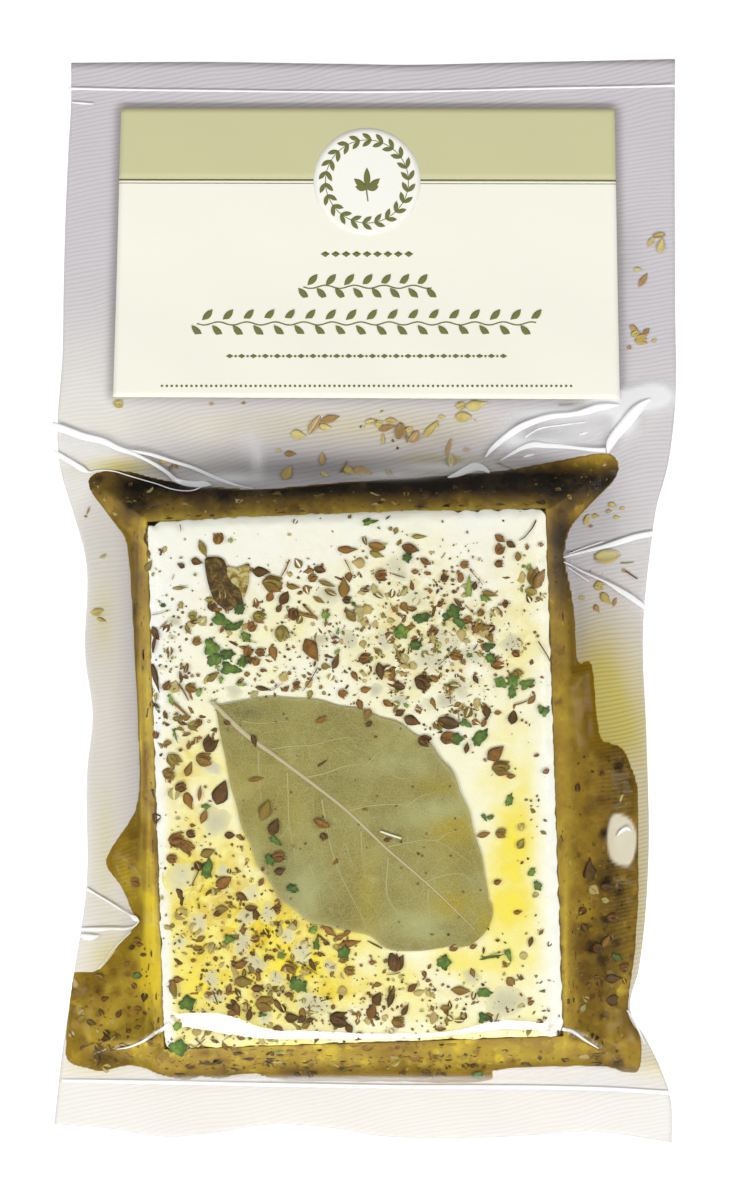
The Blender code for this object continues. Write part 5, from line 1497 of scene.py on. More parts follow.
stemShapes = shapeShelf("stemShape", [
    leafletParts([(0.0, 0.7), (0.5, 1.0), (1.0, 0.4)], 0.1, 0.25, along=6, across=2, thick=0.06),
    leafletParts([(0.0, 1.0), (0.4, 0.7), (1.0, 0.8)], 0.1, -0.2, 0.3, along=6, across=2, thick=0.06)])
crumbShapes = shapeShelf("crumbShape", [leafletParts(outline, 0.3, 0.2, 0.3, along=3, across=2, thick=0.12)
                                        for outline in (pointed, torn, blunt)])
printShapes = shapeShelf("printShape", [
    leafletParts([(0.0, 0.02), (0.2, 0.62), (0.5, 1.0), (0.8, 0.66), (1.0, 0.02)], 0.0, 0.0, along=10, across=4),
    leafletParts([(0.0, 0.02), (0.5, 1.0), (1.0, 0.02)], 0.0, 0.0, along=2, across=2),
    discParts((0.0, 0.0), [(0.5 * math.cos(k * math.pi / 8), 0.5 * math.sin(k * math.pi / 8)) for k in range(16)], 1,
              lambda x, y, rim: 0.025 + 0.0 * x, lambda x, y, rim: -0.025 + 0.0 * x)])
print("herb shapes made")


# print on the label: a wreath, garlands and lozenges

printLines = {  # photo y of the line, from x, to x, pieces, length, width, swing up and down, turn, shape, beside it
    "lozenges": (252, 325, 409, 9, 9, 6, 0, 0, 1), "garland": (285, 303, 432, 15, 15, 6.5, 7, 48, 0),
    "longGarland": (322, 196, 537, 34, 16, 6.5, 8, 48, 0), "smallLozenges": (355, 229, 504, 24, 7.5, 4.5, 0, 0, 1),
    "dots": (355, 235, 498, 23, 2.6, 2.6, 0, 0, 2), "dottedRule": (385, 161, 572, 84, 2.6, 2.6, 0, 0, 2)}
printWaves = {"garland": (285, 303, 432, 0.28), "longGarland": (322, 196, 537, 0.28)}


def printRow(line, first, last, count, length, width, swing, turn, shape):
    rows = []
    for k in range(count):
        side = 1 if k % 2 else -1
        x = first + (last - first) * k / (count - 1)
        rows.append((x, line - side * swing, length, width, side * turn, shape))
    return rows


def wreathRows():  # leaves round the disc in two rings that lean against each other, and a sprig in the middle
    (cx, cy), radius, count = printSizes["discMiddle"], printSizes["wreathRadius"] / photo["scale"], 22
    rows = []
    for k in range(count):
        angle = 2 * math.pi * (k + 0.5) / count
        for side in (-1, 1):
            reach = radius + side * 3.4
            rows.append((cx + reach * math.cos(angle), cy - reach * math.sin(angle), 11.5, 4.6,
                         math.degrees(angle) + 90 - side * 34, 0))
    for turn, length in ((90, 22), (140, 17), (40, 17), (165, 12), (15, 12)):
        reach = length * 0.5
        rows.append((cx + reach * math.cos(math.radians(turn)), cy + 8 - reach * math.sin(math.radians(turn)),
                     length, 6.5, turn, 0))
    return rows


def wavyStem(line, first, last, width):
    steps = int((last - first) / 5)
    return [(first + (last - first) * k / steps, line + 1.6 * math.sin(k * 1.1), width) for k in range(steps + 1)]


# herbs under the film

def bitSurface(x, y):  # where a small piece lies: on the cheese, on the leaf, on the oil or on the back film
    outside, inside = wallShare(x, y)
    cheeseZ = cheeseTop(x, y) + 0.24
    leafZ = leafTop(x, y) + 0.3
    onLeaf = leafPlace(x, y)[2] <= 0.0
    inOil = (depthInside(x, y, smoothOil) > 0.2) & (depthInside(x, y, bubbleOutline) < 0.0)
    marginZ = underside(x, y) + backSizes["thick"] + 0.12
    height = np.where(inOil, oilTop(x, y) + 0.1, marginZ)
    height = np.where(inside < -0.3, cheeseZ, height)
    return np.where(onLeaf, leafZ, height)


herbCarrier = {"columns": 120, "rows": 170}
faceHerbs = [(345, 640, 170, 75, 1.0), (450, 650, 80, 65, 1.0), (255, 930, 95, 90, 1.5), (175, 700, 24, 130, 0.5),
             (360, 1000, 150, 30, 1.0), (500, 985, 55, 50, 0.35), (530, 800, 22, 110, 0.2), (410, 552, 130, 18, 0.15),
             (250, 720, 90, 20, 0.4), (300, 1040, 200, 8, 0.8)]
oilHerbs = [(350, 1064, 250, 14, 1.8), (100, 1020, 45, 50, 1.3), (600, 1000, 35, 70, 0.9), (600, 860, 30, 90, 0.7),
            (350, 500, 240, 14, 0.6), (600, 482, 40, 20, 0.9), (115, 500, 36, 24, 0.8), (560, 600, 14, 80, 0.3),
            (150, 700, 12, 160, 0.3), (122, 860, 20, 40, 0.3)]
looseHerbs = [(380, 428, 110, 18, 0.5), (300, 470, 60, 12, 0.3), (650, 270, 16, 50, 0.18), (605, 560, 30, 30, 0.3),
              (96, 600, 10, 40, 0.12), (330, 415, 150, 14, 0.2)]


def herbMesh(name, onFace, inOil, loose, clumps, seed):
    x = np.linspace(-62.0, 63.0, herbCarrier["columns"] + 1)
    y = np.linspace(-103.0, 62.0, herbCarrier["rows"] + 1)
    x, y = np.meshgrid(x, y)
    inside = wallShare(x, y)[1]
    onBlock = inside < -0.8
    oily = (depthInside(x, y, smoothOil) > 0.8) & ~(inside < -0.3)
    share = np.where(onBlock, onFace * zoneSum(x, y, faceHerbs), 0.0)
    share = np.where(oily, inOil * zoneSum(x, y, oilHerbs), share)
    share = np.where(~onBlock & ~oily & (depthInside(x, y, smoothOil) < -0.8), loose * zoneSum(x, y, looseHerbs), share)
    share = np.where(leafPlace(x, y)[2] < 0.6, 0.02 * onFace, share)
    patchy = np.clip(0.5 + 0.5 * ripple(x, y, 9.0, seed, 11) * clumps, 0.0, 2.0)
    share = share * patchy * (1.0 - smoothStep((0.2 + depthInside(x, y, bubbleOutline)) / 0.5))
    high = bitSurface(x, y)
    points = np.column_stack([x.ravel(), y.ravel(), high.ravel()])
    number = np.arange(x.size).reshape(x.shape)
    faces = np.column_stack([part.ravel() for part in (number[:-1, :-1], number[:-1, 1:], number[1:, 1:],
                                                       number[1:, :-1])]).tolist()
    mesh = bpy.data.meshes.new(name)
    mesh.from_pydata([tuple(point) for point in points * mm], [], faces)
    layer = mesh.attributes.new("share", "FLOAT", "POINT")
    layer.data.foreach_set("value", np.maximum(share, 0.0).ravel().astype(np.float32))
    return mesh


def herbMaterial(name, stops, edge, cover=1.0, middle=(0.4, 0.25, 0.05), spread=0.4):
    material, tree, shader = newMaterial(name, Roughness=0.5, Alpha=cover, **{"Specular IOR Level": 0.2})
    patches = placeGroup(tree, mottle, {"Place": objectPlace(tree), "Scale": 700.0, "Detail Scale": 3200.0,
                                        "Contrast": 2.0})
    tone = mathNode(tree, "ADD", attributeNode(tree, "tone"), mathNode(tree, "MULTIPLY", mathNode(
        tree, "SUBTRACT", patches.outputs["Patches"], 0.5), spread), clamp=True)
    colour = rampNode(tree, tone, stops)
    rim = mathNode(tree, "POWER", mathNode(tree, "ABSOLUTE", attributeNode(tree, "bladeAcross")), 2.0)
    colour = mixColour(tree, mathNode(tree, "MULTIPLY", mathNode(tree, "SUBTRACT", 1.0, rim), 0.18), colour, middle)
    colour = mixColour(tree, mathNode(tree, "MULTIPLY", rim, 0.5), colour, edge)
    colour = mixColour(tree, mathNode(tree, "MULTIPLY", patches.outputs["Grain"], 0.35), colour, edge)
    tree.links.new(colour, shader.inputs["Base Color"])
    addBump(tree, shader, patches.outputs["Patches"], 0.3, 0.0001)
    return material


driedStops = [(0.0, (0.05, 0.026, 0.01)), (0.2, (0.15, 0.062, 0.02)), (0.4, (0.34, 0.145, 0.028)),
              (0.6, (0.31, 0.175, 0.03)), (0.8, (0.25, 0.21, 0.04)), (1.0, (0.5, 0.42, 0.09))]
oilyStops = [(0.0, (0.03, 0.018, 0.008)), (0.3, (0.09, 0.04, 0.014)), (0.55, (0.2, 0.11, 0.025)),
             (0.8, (0.33, 0.22, 0.04)), (1.0, (0.62, 0.47, 0.06))]
tornStops = [(0.0, (0.03, 0.016, 0.008)), (0.3, (0.1, 0.056, 0.018)), (0.6, (0.27, 0.18, 0.035)),
             (0.8, (0.46, 0.34, 0.07)), (1.0, (0.76, 0.68, 0.3))]
soakedStops = [(0.0, (0.4, 0.29, 0.09)), (0.4, (0.55, 0.43, 0.14)), (0.7, (0.5, 0.43, 0.15)), (1.0, (0.4, 0.38, 0.17))]
greenStops = [(0.0, (0.035, 0.07, 0.018)), (0.35, (0.095, 0.18, 0.03)), (0.65, (0.19, 0.32, 0.05)),
              (1.0, (0.39, 0.54, 0.1))]
marginStops = [(0.0, (0.16, 0.07, 0.03)), (0.35, (0.4, 0.19, 0.07)), (0.6, (0.5, 0.35, 0.1)),
               (0.85, (0.58, 0.48, 0.13)), (1.0, (0.72, 0.64, 0.26))]
driedFinish = herbMaterial("driedHerb", driedStops, (0.06, 0.03, 0.012))
oilyFinish = herbMaterial("oilyHerb", oilyStops, (0.035, 0.022, 0.01))
greenFinish = herbMaterial("greenHerb", greenStops, (0.05, 0.085, 0.025), 1.0, (0.22, 0.33, 0.07), 0.8)
tornFinish = herbMaterial("tornLeaf", tornStops, (0.05, 0.03, 0.012), 1.0, (0.2, 0.13, 0.03), 1.1)
soakedFinish = herbMaterial("soakedHerb", soakedStops, (0.4, 0.3, 0.12), 1.0, (0.66, 0.55, 0.22))
strewing = {
    "thymeLeaves": {"carrier": (1.0, 0.0, 0.0, 1.1, 51), "Shapes": driedShapes, "Finish": driedFinish,
                    "Shape Count": 6, "Per Square Metre": 240000.0, "Smallest": 0.7, "Largest": 2.6,
                    "Narrowest": 0.35, "Widest": 0.8, "Tilt": 0.12, "Sink": 0.00025, "Seed": 3},
    "oiledLeaves": {"carrier": (0.0, 1.0, 0.0, 0.7, 52), "Shapes": driedShapes, "Finish": oilyFinish,
                    "Shape Count": 6, "Per Square Metre": 210000.0, "Smallest": 0.6, "Largest": 2.8,
                    "Narrowest": 0.35, "Widest": 0.8, "Tilt": 0.12, "Sink": 0.00015, "Seed": 4},
    "looseLeaves": {"carrier": (0.0, 0.0, 1.0, 0.8, 53), "Shapes": driedShapes, "Finish": herbMaterial(
        "looseHerb", driedStops[3:], (0.2, 0.14, 0.04)), "Shape Count": 6, "Per Square Metre": 30000.0,
        "Smallest": 0.4, "Largest": 1.2, "Narrowest": 0.35, "Widest": 0.8, "Tilt": 0.05, "Sink": 0.0, "Seed": 5},
    "herbDust": {"carrier": (1.0, 0.6, 0.15, 0.8, 54), "Shapes": crumbShapes, "Finish": driedFinish,
                 "Shape Count": 3, "Per Square Metre": 900000.0, "Smallest": 0.22, "Largest": 0.9,
                 "Narrowest": 0.4, "Widest": 1.0, "Tilt": 0.3, "Sink": 0.0002, "Seed": 6},
    "woodyStems": {"carrier": (1.0, 0.6, 0.0, 0.8, 55), "Shapes": stemShapes, "Finish": driedFinish,
                   "Shape Count": 2, "Per Square Metre": 16000.0, "Smallest": 1.2, "Largest": 3.4,
                   "Narrowest": 0.06, "Widest": 0.13, "Tilt": 0.03, "Sink": 0.0001, "Seed": 7},
    "greenFlakes": {"carrier": (1.0, 0.5, 0.0, 1.0, 56), "Shapes": greenShapes, "Finish": greenFinish,
                    "Shape Count": 4, "Per Square Metre": 14000.0, "Smallest": 0.5, "Largest": 1.8,
                    "Narrowest": 0.5, "Widest": 1.0, "Tilt": 0.12, "Sink": 0.0001, "Seed": 8},
    "soakedLeaves": {"carrier": (1.0, 0.35, 0.0, 1.0, 57), "Shapes": driedShapes, "Finish": soakedFinish,
                     "Shape Count": 6, "Per Square Metre": 100000.0, "Smallest": 0.9, "Largest": 2.8,
                     "Narrowest": 0.5, "Widest": 1.0, "Tilt": 0.05, "Sink": 0.00025, "Seed": 9},
}
strewnPieces = {}
for name, values in strewing.items():
    carrier = herbMesh(name, *values["carrier"])
    strewnPieces[name] = runTree(name, carrier, strewPieces, values)
    print(name, len(strewnPieces[name].data.polygons))


# herbs set where the photo shows them: photo x, photo y, length, width, turn in degrees, tone

setHerbs = {
    "upperLeft": [
        (204, 549, 19, 8, -67, 0.85), (198, 562, 12, 8, -15, 0.15), (219, 539, 13, 9, 90, 0.5),
        (262, 572, 17, 11, 0, 0.02), (273, 584, 22, 15, -10, 0.65), (294, 587, 14, 6, -10, 0.6),
        (285, 598, 16, 10, 60, 0.1), (280, 608, 10, 6, 60, 0.1), (294, 614, 14, 12, 90, 0.15),
        (271, 596, 12, 8, 70, 0.4), (260, 617, 15, 12, -20, 0.8), (253, 627, 11, 9, 60, 0.45),
        (213, 606, 11, 9, -50, 0.1), (194, 616, 10, 7, 0, 0.95), (196, 622, 10, 4, 0, 0.1), (198, 641, 11, 9, 20, 0.6),
        (283, 633, 17, 13, -70, 0.9), (274, 653, 16, 9, -75, 0.45), (289, 649, 5, 4, 0, 0.2),
        (312, 650, 26, 15, -60, 0.3), (320, 570, 12, 7, -15, 0.1), (348, 550, 20, 8, 0, 0.4), (313, 578, 11, 9, 45, 0.45),
        (327, 584, 18, 5, -20, 0.7), (331, 593, 13, 5, -25, 0.7), (344, 587, 20, 12, 90, 0.6), (347, 600, 10, 9, 0, 0),
        (336, 661, 17, 7, 70, 0.15), (192, 687, 12, 12, 0, 0.55), (214, 676, 16, 8, 35, 0.75),
        (168, 686, 10, 9, 45, 0.3), (157, 678, 30, 7, -75, 0), (157, 633, 16, 8, -60, 0.1), (343, 693, 11, 9, -40, 0.4),
        (351, 616, 14, 8, -50, 0.75), (249, 651, 12, 9, 50, 0.3), (261, 652, 11, 9, 0, 0.25), (257, 661, 10, 8, 60, 0.5),
        (249, 659, 12, 8, -60, 0.05), (150, 566, 14, 8, 60, 0.8), (156, 643, 20, 4, 80, 0.1), (182, 588, 16, 4, 5, 0.95),
        (182, 605, 8, 5, 80, 0.95), (264, 688, 16, 5, -10, 0.05), (326, 623, 9, 3, 80, 0.7), (365, 660, 10, 5, 60, 0.1),
        (297, 683, 8, 5, 20, 0.15), (287, 688, 8, 6, 40, 0.35), (224, 628, 12, 4, 60, 0.3), (355, 676, 12, 6, -60, 0.35),
        (319, 600, 14, 5, -30, 0.55), (264, 670, 7, 4, 0, 0.2)],
    "upperRight": [
        (377, 547, 17, 9, -10, 0.5), (377, 555, 15, 7, -20, 0.9), (410, 549, 18, 10, -15, 0.2), (419, 537, 16, 5, 0, 0.9),
        (425, 562, 13, 7, -30, 0.25), (381, 576, 14, 12, 0, 0.3), (415, 572, 8, 8, 0, 0.4), (444, 578, 10, 7, 60, 0.15),
        (460, 578, 10, 6, 80, 0.4), (464, 565, 10, 8, 0, 0.55), (499, 539, 13, 8, -35, 0.4), (499, 550, 12, 9, 60, 0.4),
        (510, 545, 11, 7, -30, 0.05), (498, 564, 10, 7, 0, 0.25), (517, 557, 9, 6, 90, 0.6), (526, 547, 7, 4, 90, 0.3),
        (540, 545, 7, 6, 0, 0.45), (535, 578, 24, 17, 80, 0.65), (530, 592, 12, 8, -10, 0.95), (538, 599, 8, 6, 0, 0.45),
        (522, 586, 3, 3, 0, 0), (454, 592, 6, 5, 0, 0.1), (474, 586, 10, 6, 80, 0.05), (489, 594, 17, 6, -15, 0.65),
        (412, 609, 9, 5, 0, 0.2), (467, 620, 10, 9, 0, 0.4), (480, 613, 9, 8, 50, 0.6), (482, 627, 20, 9, 0, 0.65),
        (433, 631, 11, 9, 50, 0.3), (489, 637, 12, 8, -60, 0.6), (515, 653, 9, 9, 0, 0.3), (455, 655, 13, 12, 0, 0.45),
        (497, 665, 14, 8, 0, 0.3), (517, 673, 11, 11, -40, 0.7), (422, 682, 19, 17, -30, 0.05),
        (392, 673, 14, 8, 70, 0.35), (380, 671, 18, 9, -80, 0.05), (365, 658, 14, 12, 0, 0.2), (399, 686, 12, 8, -15, 0.1),
        (366, 689, 11, 7, 10, 0.5), (475, 679, 10, 5, -60, 0.05), (486, 712, 14, 9, -85, 0.1), (497, 712, 8, 6, 0, 0.45),
        (512, 716, 16, 10, 80, 0), (448, 722, 22, 12, -15, 0.02), (447, 737, 16, 11, 0, 0.3), (466, 747, 12, 6, 80, 0.05),
        (495, 752, 21, 14, 40, 0.3), (483, 722, 9, 5, 70, 0.3), (456, 711, 8, 4, 15, 0.25), (530, 685, 8, 5, 0, 0.3),
        (412, 720, 18, 11, -20, 0.1), (400, 712, 12, 8, 30, 0.15), (424, 740, 14, 10, -20, 0.15),
        (388, 703, 12, 6, -30, 0.35), (360, 704, 12, 7, -70, 0.35), (500, 767, 20, 14, 0, 0.6), (440, 604, 8, 5, 40, 0.35)],
    "middleLeft": [
        (158, 705, 10, 3, -40, 0), (167, 715, 9, 5, -60, 0.2), (178, 713, 5, 5, 0, 0.4), (188, 717, 9, 6, 10, 0.5),
        (178, 718, 8, 5, 0, 0.75), (194, 725, 11, 9, 10, 0.9), (200, 722, 9, 7, 80, 0.35), (169, 724, 5, 4, 0, 0.2),
        (182, 728, 7, 4, -20, 0.6), (157, 734, 9, 7, 70, 0.25), (169, 742, 8, 7, 0, 0.45), (190, 744, 9, 5, 85, 0.35),
        (201, 737, 5, 5, 0, 0.4), (211, 743, 19, 14, 60, 0), (205, 758, 17, 14, 0, 0.6), (175, 759, 17, 13, -50, 0.75),
        (170, 772, 14, 14, 0, 0.65), (190, 768, 16, 8, 70, 0.65), (182, 786, 13, 9, 20, 0.2), (190, 800, 18, 10, -70, 0.45),
        (201, 792, 16, 4, 85, 0.4), (222, 791, 26, 17, 70, 0.1), (205, 815, 16, 8, 70, 0.45), (194, 824, 6, 6, 0, 0.25),
        (178, 838, 18, 14, 20, 0.35), (188, 845, 16, 12, -40, 0.45), (192, 832, 10, 8, 0, 0.15), (209, 851, 16, 10, 20, 0.65),
        (173, 857, 12, 12, 0, 0.5), (155, 795, 14, 5, -75, 0), (182, 749, 5, 4, 0, 0.15)],
    "onLeaf": [
        (255, 740, 13, 6, -75, 0), (266, 809, 22, 14, 70, 0.7), (275, 825, 18, 12, 65, 0.02), (322, 822, 17, 7, -25, 0.35),
        (324, 835, 9, 8, -60, 0), (322, 719, 13, 6, 30, 0.4), (257, 778, 16, 4, 10, 0.4), (228, 722, 7, 4, -15, 0.2),
        (388, 838, 8, 4, 15, 0.2), (369, 723, 8, 5, 40, 0.05), (376, 736, 4, 4, 0, 0.3), (279, 855, 14, 11, 20, 0.3),
        (281, 869, 12, 8, 20, 0), (306, 842, 3, 3, 0, 0), (323, 762, 14, 2, 35, 0.1), (365, 808, 6, 3, 0, 0.5)],
    "lowerLeft": [
        (278, 906, 9, 8, 0, 0.2), (242, 962, 14, 8, 20, 0.3), (259, 986, 14, 8, 0, 0.15), (231, 1004, 9, 6, 0, 0.05),
        (211, 991, 9, 4, 0, 0.4), (175, 986, 18, 8, -80, 0.7), (180, 977, 11, 7, -5, 0.4), (230, 986, 11, 6, 70, 0.3),
        (290, 992, 8, 7, 0, 0.2), (267, 955, 8, 5, 70, 0.05), (272, 955, 7, 7, 0, 0.2), (198, 946, 8, 8, 0, 0.45),
        (195, 958, 6, 4, 0, 0.4), (209, 962, 5, 5, 0, 0.2), (276, 948, 6, 4, 0, 0.15), (321, 952, 8, 5, 0, 0.2),
        (292, 966, 12, 10, -30, 0.65), (265, 1001, 20, 14, 0, 0.65), (293, 1015, 16, 10, 0, 0.05), (339, 1016, 20, 16, 0, 0.05),
        (311, 1017, 10, 5, 20, 0.05), (223, 907, 14, 9, 0, 0.7), (220, 911, 12, 6, 20, 0.1), (252, 906, 12, 6, 0, 0.1),
        (245, 979, 18, 12, 0, 0.72), (313, 963, 14, 5, -60, 0.05), (350, 941, 22, 8, 10, 0.4), (330, 929, 16, 8, -40, 0.45),
        (296, 921, 8, 4, -80, 0.25), (288, 920, 5, 4, 0, 0.3), (373, 960, 8, 5, 0, 0.5), (350, 968, 12, 9, 0, 0.6),
        (238, 1007, 14, 8, -70, 0.2), (250, 1012, 12, 6, 80, 0.1), (279, 1003, 14, 6, -60, 0.2), (225, 880, 18, 12, 30, 0.35),
        (243, 895, 14, 8, -30, 0.2), (262, 880, 10, 6, 60, 0.3), (355, 1043, 12, 5, 0, 0.4), (368, 1045, 14, 9, 20, 0.65),
        (254, 1047, 7, 6, 0, 0.4), (226, 1044, 12, 5, -60, 0.3), (235, 1045, 12, 7, 85, 0.7), (216, 1038, 10, 4, -20, 0.1),
        (398, 1045, 10, 5, 60, 0.3), (270, 1060, 10, 7, -20, 0), (300, 1043, 8, 4, 0, 0.35), (340, 935, 14, 6, 20, 0.35)],
    "lowerRight": [
        (590, 872, 26, 12, 85, 0), (608, 888, 15, 8, 0, 0.05), (599, 950, 14, 10, -30, 0.05), (626, 969, 12, 12, 0, 0.2),
        (615, 980, 20, 10, 0, 0), (615, 1002, 20, 12, 0, 0.05), (607, 942, 14, 8, 60, 0.5), (614, 919, 14, 12, 0, 0.2),
        (517, 910, 9, 5, 10, 0.35), (497, 938, 5, 4, 0, 0.2), (504, 962, 8, 4, -60, 0.3), (460, 988, 20, 10, -5, 0.6),
        (445, 1005, 11, 6, 5, 0.55), (440, 1026, 11, 4, 0, 0.25), (446, 1017, 8, 4, 80, 0.75), (377, 996, 15, 10, 60, 0),
        (372, 1008, 18, 11, 75, 0.25), (391, 994, 24, 8, 75, 0), (405, 1007, 14, 6, 60, 0.05), (398, 1019, 14, 14, 0, 0.5),
        (378, 982, 8, 6, 0, 0.4), (416, 1059, 16, 10, 0, 0.5), (396, 960, 20, 24, 80, 0.12), (412, 985, 12, 7, 40, 0.2),
        (497, 880, 9, 6, 20, 0.3), (510, 775, 10, 6, 0, 0.4), (520, 842, 12, 8, 60, 0.85), (545, 770, 8, 5, 30, 0.3),
        (473, 944, 8, 6, 20, 0.3), (454, 945, 12, 7, 30, 0.2), (428, 978, 6, 4, 0, 0.3), (540, 930, 8, 4, 50, 0.3),
        (500, 832, 12, 9, 0, 0.7), (483, 833, 14, 6, 15, 0.5), (530, 1000, 8, 5, 30, 0.35), (520, 976, 7, 4, 0, 0.2)],
    "margins": [
        (461, 405, 10, 9, 20, 0.85), (477, 404, 22, 12, 10, 1.0), (464, 416, 17, 11, 0, 0.85), (449, 446, 18, 6, 75, 0.35),
        (467, 449, 8, 7, 0, 0.55), (454, 461, 16, 11, 75, 0.85), (442, 416, 7, 6, 0, 0.95), (431, 428, 22, 8, 50, 0.82),
        (436, 424, 9, 6, 60, 0.85), (298, 434, 16, 10, -10, 1.0), (314, 424, 22, 7, 58, 0.5), (325, 426, 12, 8, -10, 0.9),
        (330, 418, 20, 8, 15, 0.15), (290, 453, 12, 7, 0, 0.12), (322, 458, 14, 6, 88, 0.5), (287, 472, 17, 10, 60, 0.62),
        (278, 450, 5, 4, 0, 1), (325, 474, 10, 5, -30, 0.95), (349, 470, 14, 8, -30, 0.75), (363, 471, 20, 11, -10, 0.55),
        (378, 474, 8, 4, 88, 0.45), (390, 473, 12, 4, -55, 0.55), (370, 421, 10, 5, 15, 0.92), (379, 423, 9, 8, 0, 0.9),
        (391, 420, 13, 7, 0, 0.7), (387, 427, 18, 7, 15, 0.15), (400, 430, 17, 10, 80, 0.03), (383, 438, 12, 4, 88, 0.9),
        (409, 429, 10, 7, 10, 0.85), (407, 438, 9, 3, -80, 0.05), (415, 436, 14, 8, 60, 0.5), (578, 406, 10, 8, 10, 0.9),
        (117, 403, 11, 8, 0, 0.95), (170, 466, 6, 4, 60, 0.05), (175, 465.5, 6, 4, -60, 0.05), (163, 461, 8, 5, 0, 0.9),
        (87, 510, 9, 2, 70, 0.4), (84.5, 516, 4, 3, 0, 0.4), (608.6, 556, 27, 14, 8, 1.0), (607, 599, 15, 9, -50, 0.8),
        (616, 602, 10, 4, 70, 0.4), (600, 586, 12, 9, 0, 0.9), (583, 598, 6, 6, 0, 0.9), (598, 609, 9, 6, -60, 0.3),
        (588, 519, 12, 6, 70, 0.9), (597, 515.5, 8, 7, 0, 0.85), (592, 526, 5, 4, 0, 0.45), (614, 505, 10, 5, -20, 0.92),
        (623.5, 508, 5, 4, 0, 0.9), (618, 517, 7, 6, 0, 0.9), (610, 511, 6, 6, 0, 0.8), (626, 571, 6, 4, -30, 0.5),
        (653, 239, 13, 6, 62, 0.85), (663, 243, 16, 8, 78, 0.95), (661, 233, 13, 5, 10, 0.6), (640, 267, 8, 7, 0, 1.0),
        (645, 278, 17, 6, 58, 0.35), (636, 327, 11, 6, -35, 0.5), (637, 332, 10, 7, 40, 0.8), (643, 338, 14, 12, 0, 0.72),
        (648, 330, 10, 6, 45, 0.15), (656, 339, 6, 5, 45, 0.95), (631, 346, 5, 4, 80, 0.5), (102, 556, 8, 3, 30, 0.9),
        (96, 612, 14, 7, 20, 0.9), (100, 620, 10, 5, -20, 0.8), (243, 402, 5, 4, 0, 0.15), (211, 403, 5, 3, 0, 0.5)],
    "leftPool": [
        (136, 942, 9, 6, 0, 0.4), (131, 949, 7, 5, 30, 0.1), (139, 946, 8, 6, 0, 0.35), (152, 953, 9, 4, 80, 0.1),
        (143, 956, 8, 4, 0, 0.1), (126, 965, 8, 5, 40, 0.4), (146, 975, 10, 6, 50, 0.05), (134, 883, 12, 9, 0, 0.4),
        (104, 1000, 9, 6, 20, 0.2), (90, 1024, 12, 7, -20, 0.1), (118, 1015, 10, 6, 60, 0.15), (137, 1010, 8, 5, 0, 0.4),
        (157, 995, 9, 5, 80, 0.15), (105, 1040, 12, 8, 0, 0.05), (160, 1018, 10, 6, 60, 0.15), (128, 1032, 9, 6, -40, 0.3),
        (205, 1062, 14, 9, -30, 0.05), (190, 1066, 12, 8, 30, 0.15), (150, 1040, 10, 7, 0, 0.3)],
    "cheeseEdge": [
        (213, 516.5, 8, 5, -70, 0), (199, 516.6, 9, 3, 20, 0.1), (233, 509, 9, 4, 0, 0.3), (316, 513, 10, 6, -30, 0.3),
        (302, 511.6, 8, 4, 0, 0.15), (281, 513, 10, 4, 10, 0.2), (170, 519, 9, 4, 10, 0.1), (350, 517, 6, 4, 60, 0.6),
        (148, 540, 14, 5, -80, 0.1), (150, 555, 9, 5, -80, 0.3), (388, 518, 7, 2, 40, 0.1), (424, 508, 9, 4, 0, 0.2),
        (461, 506, 9, 3, 0, 0.1), (500, 505, 10, 4, 0, 0.2)],
}
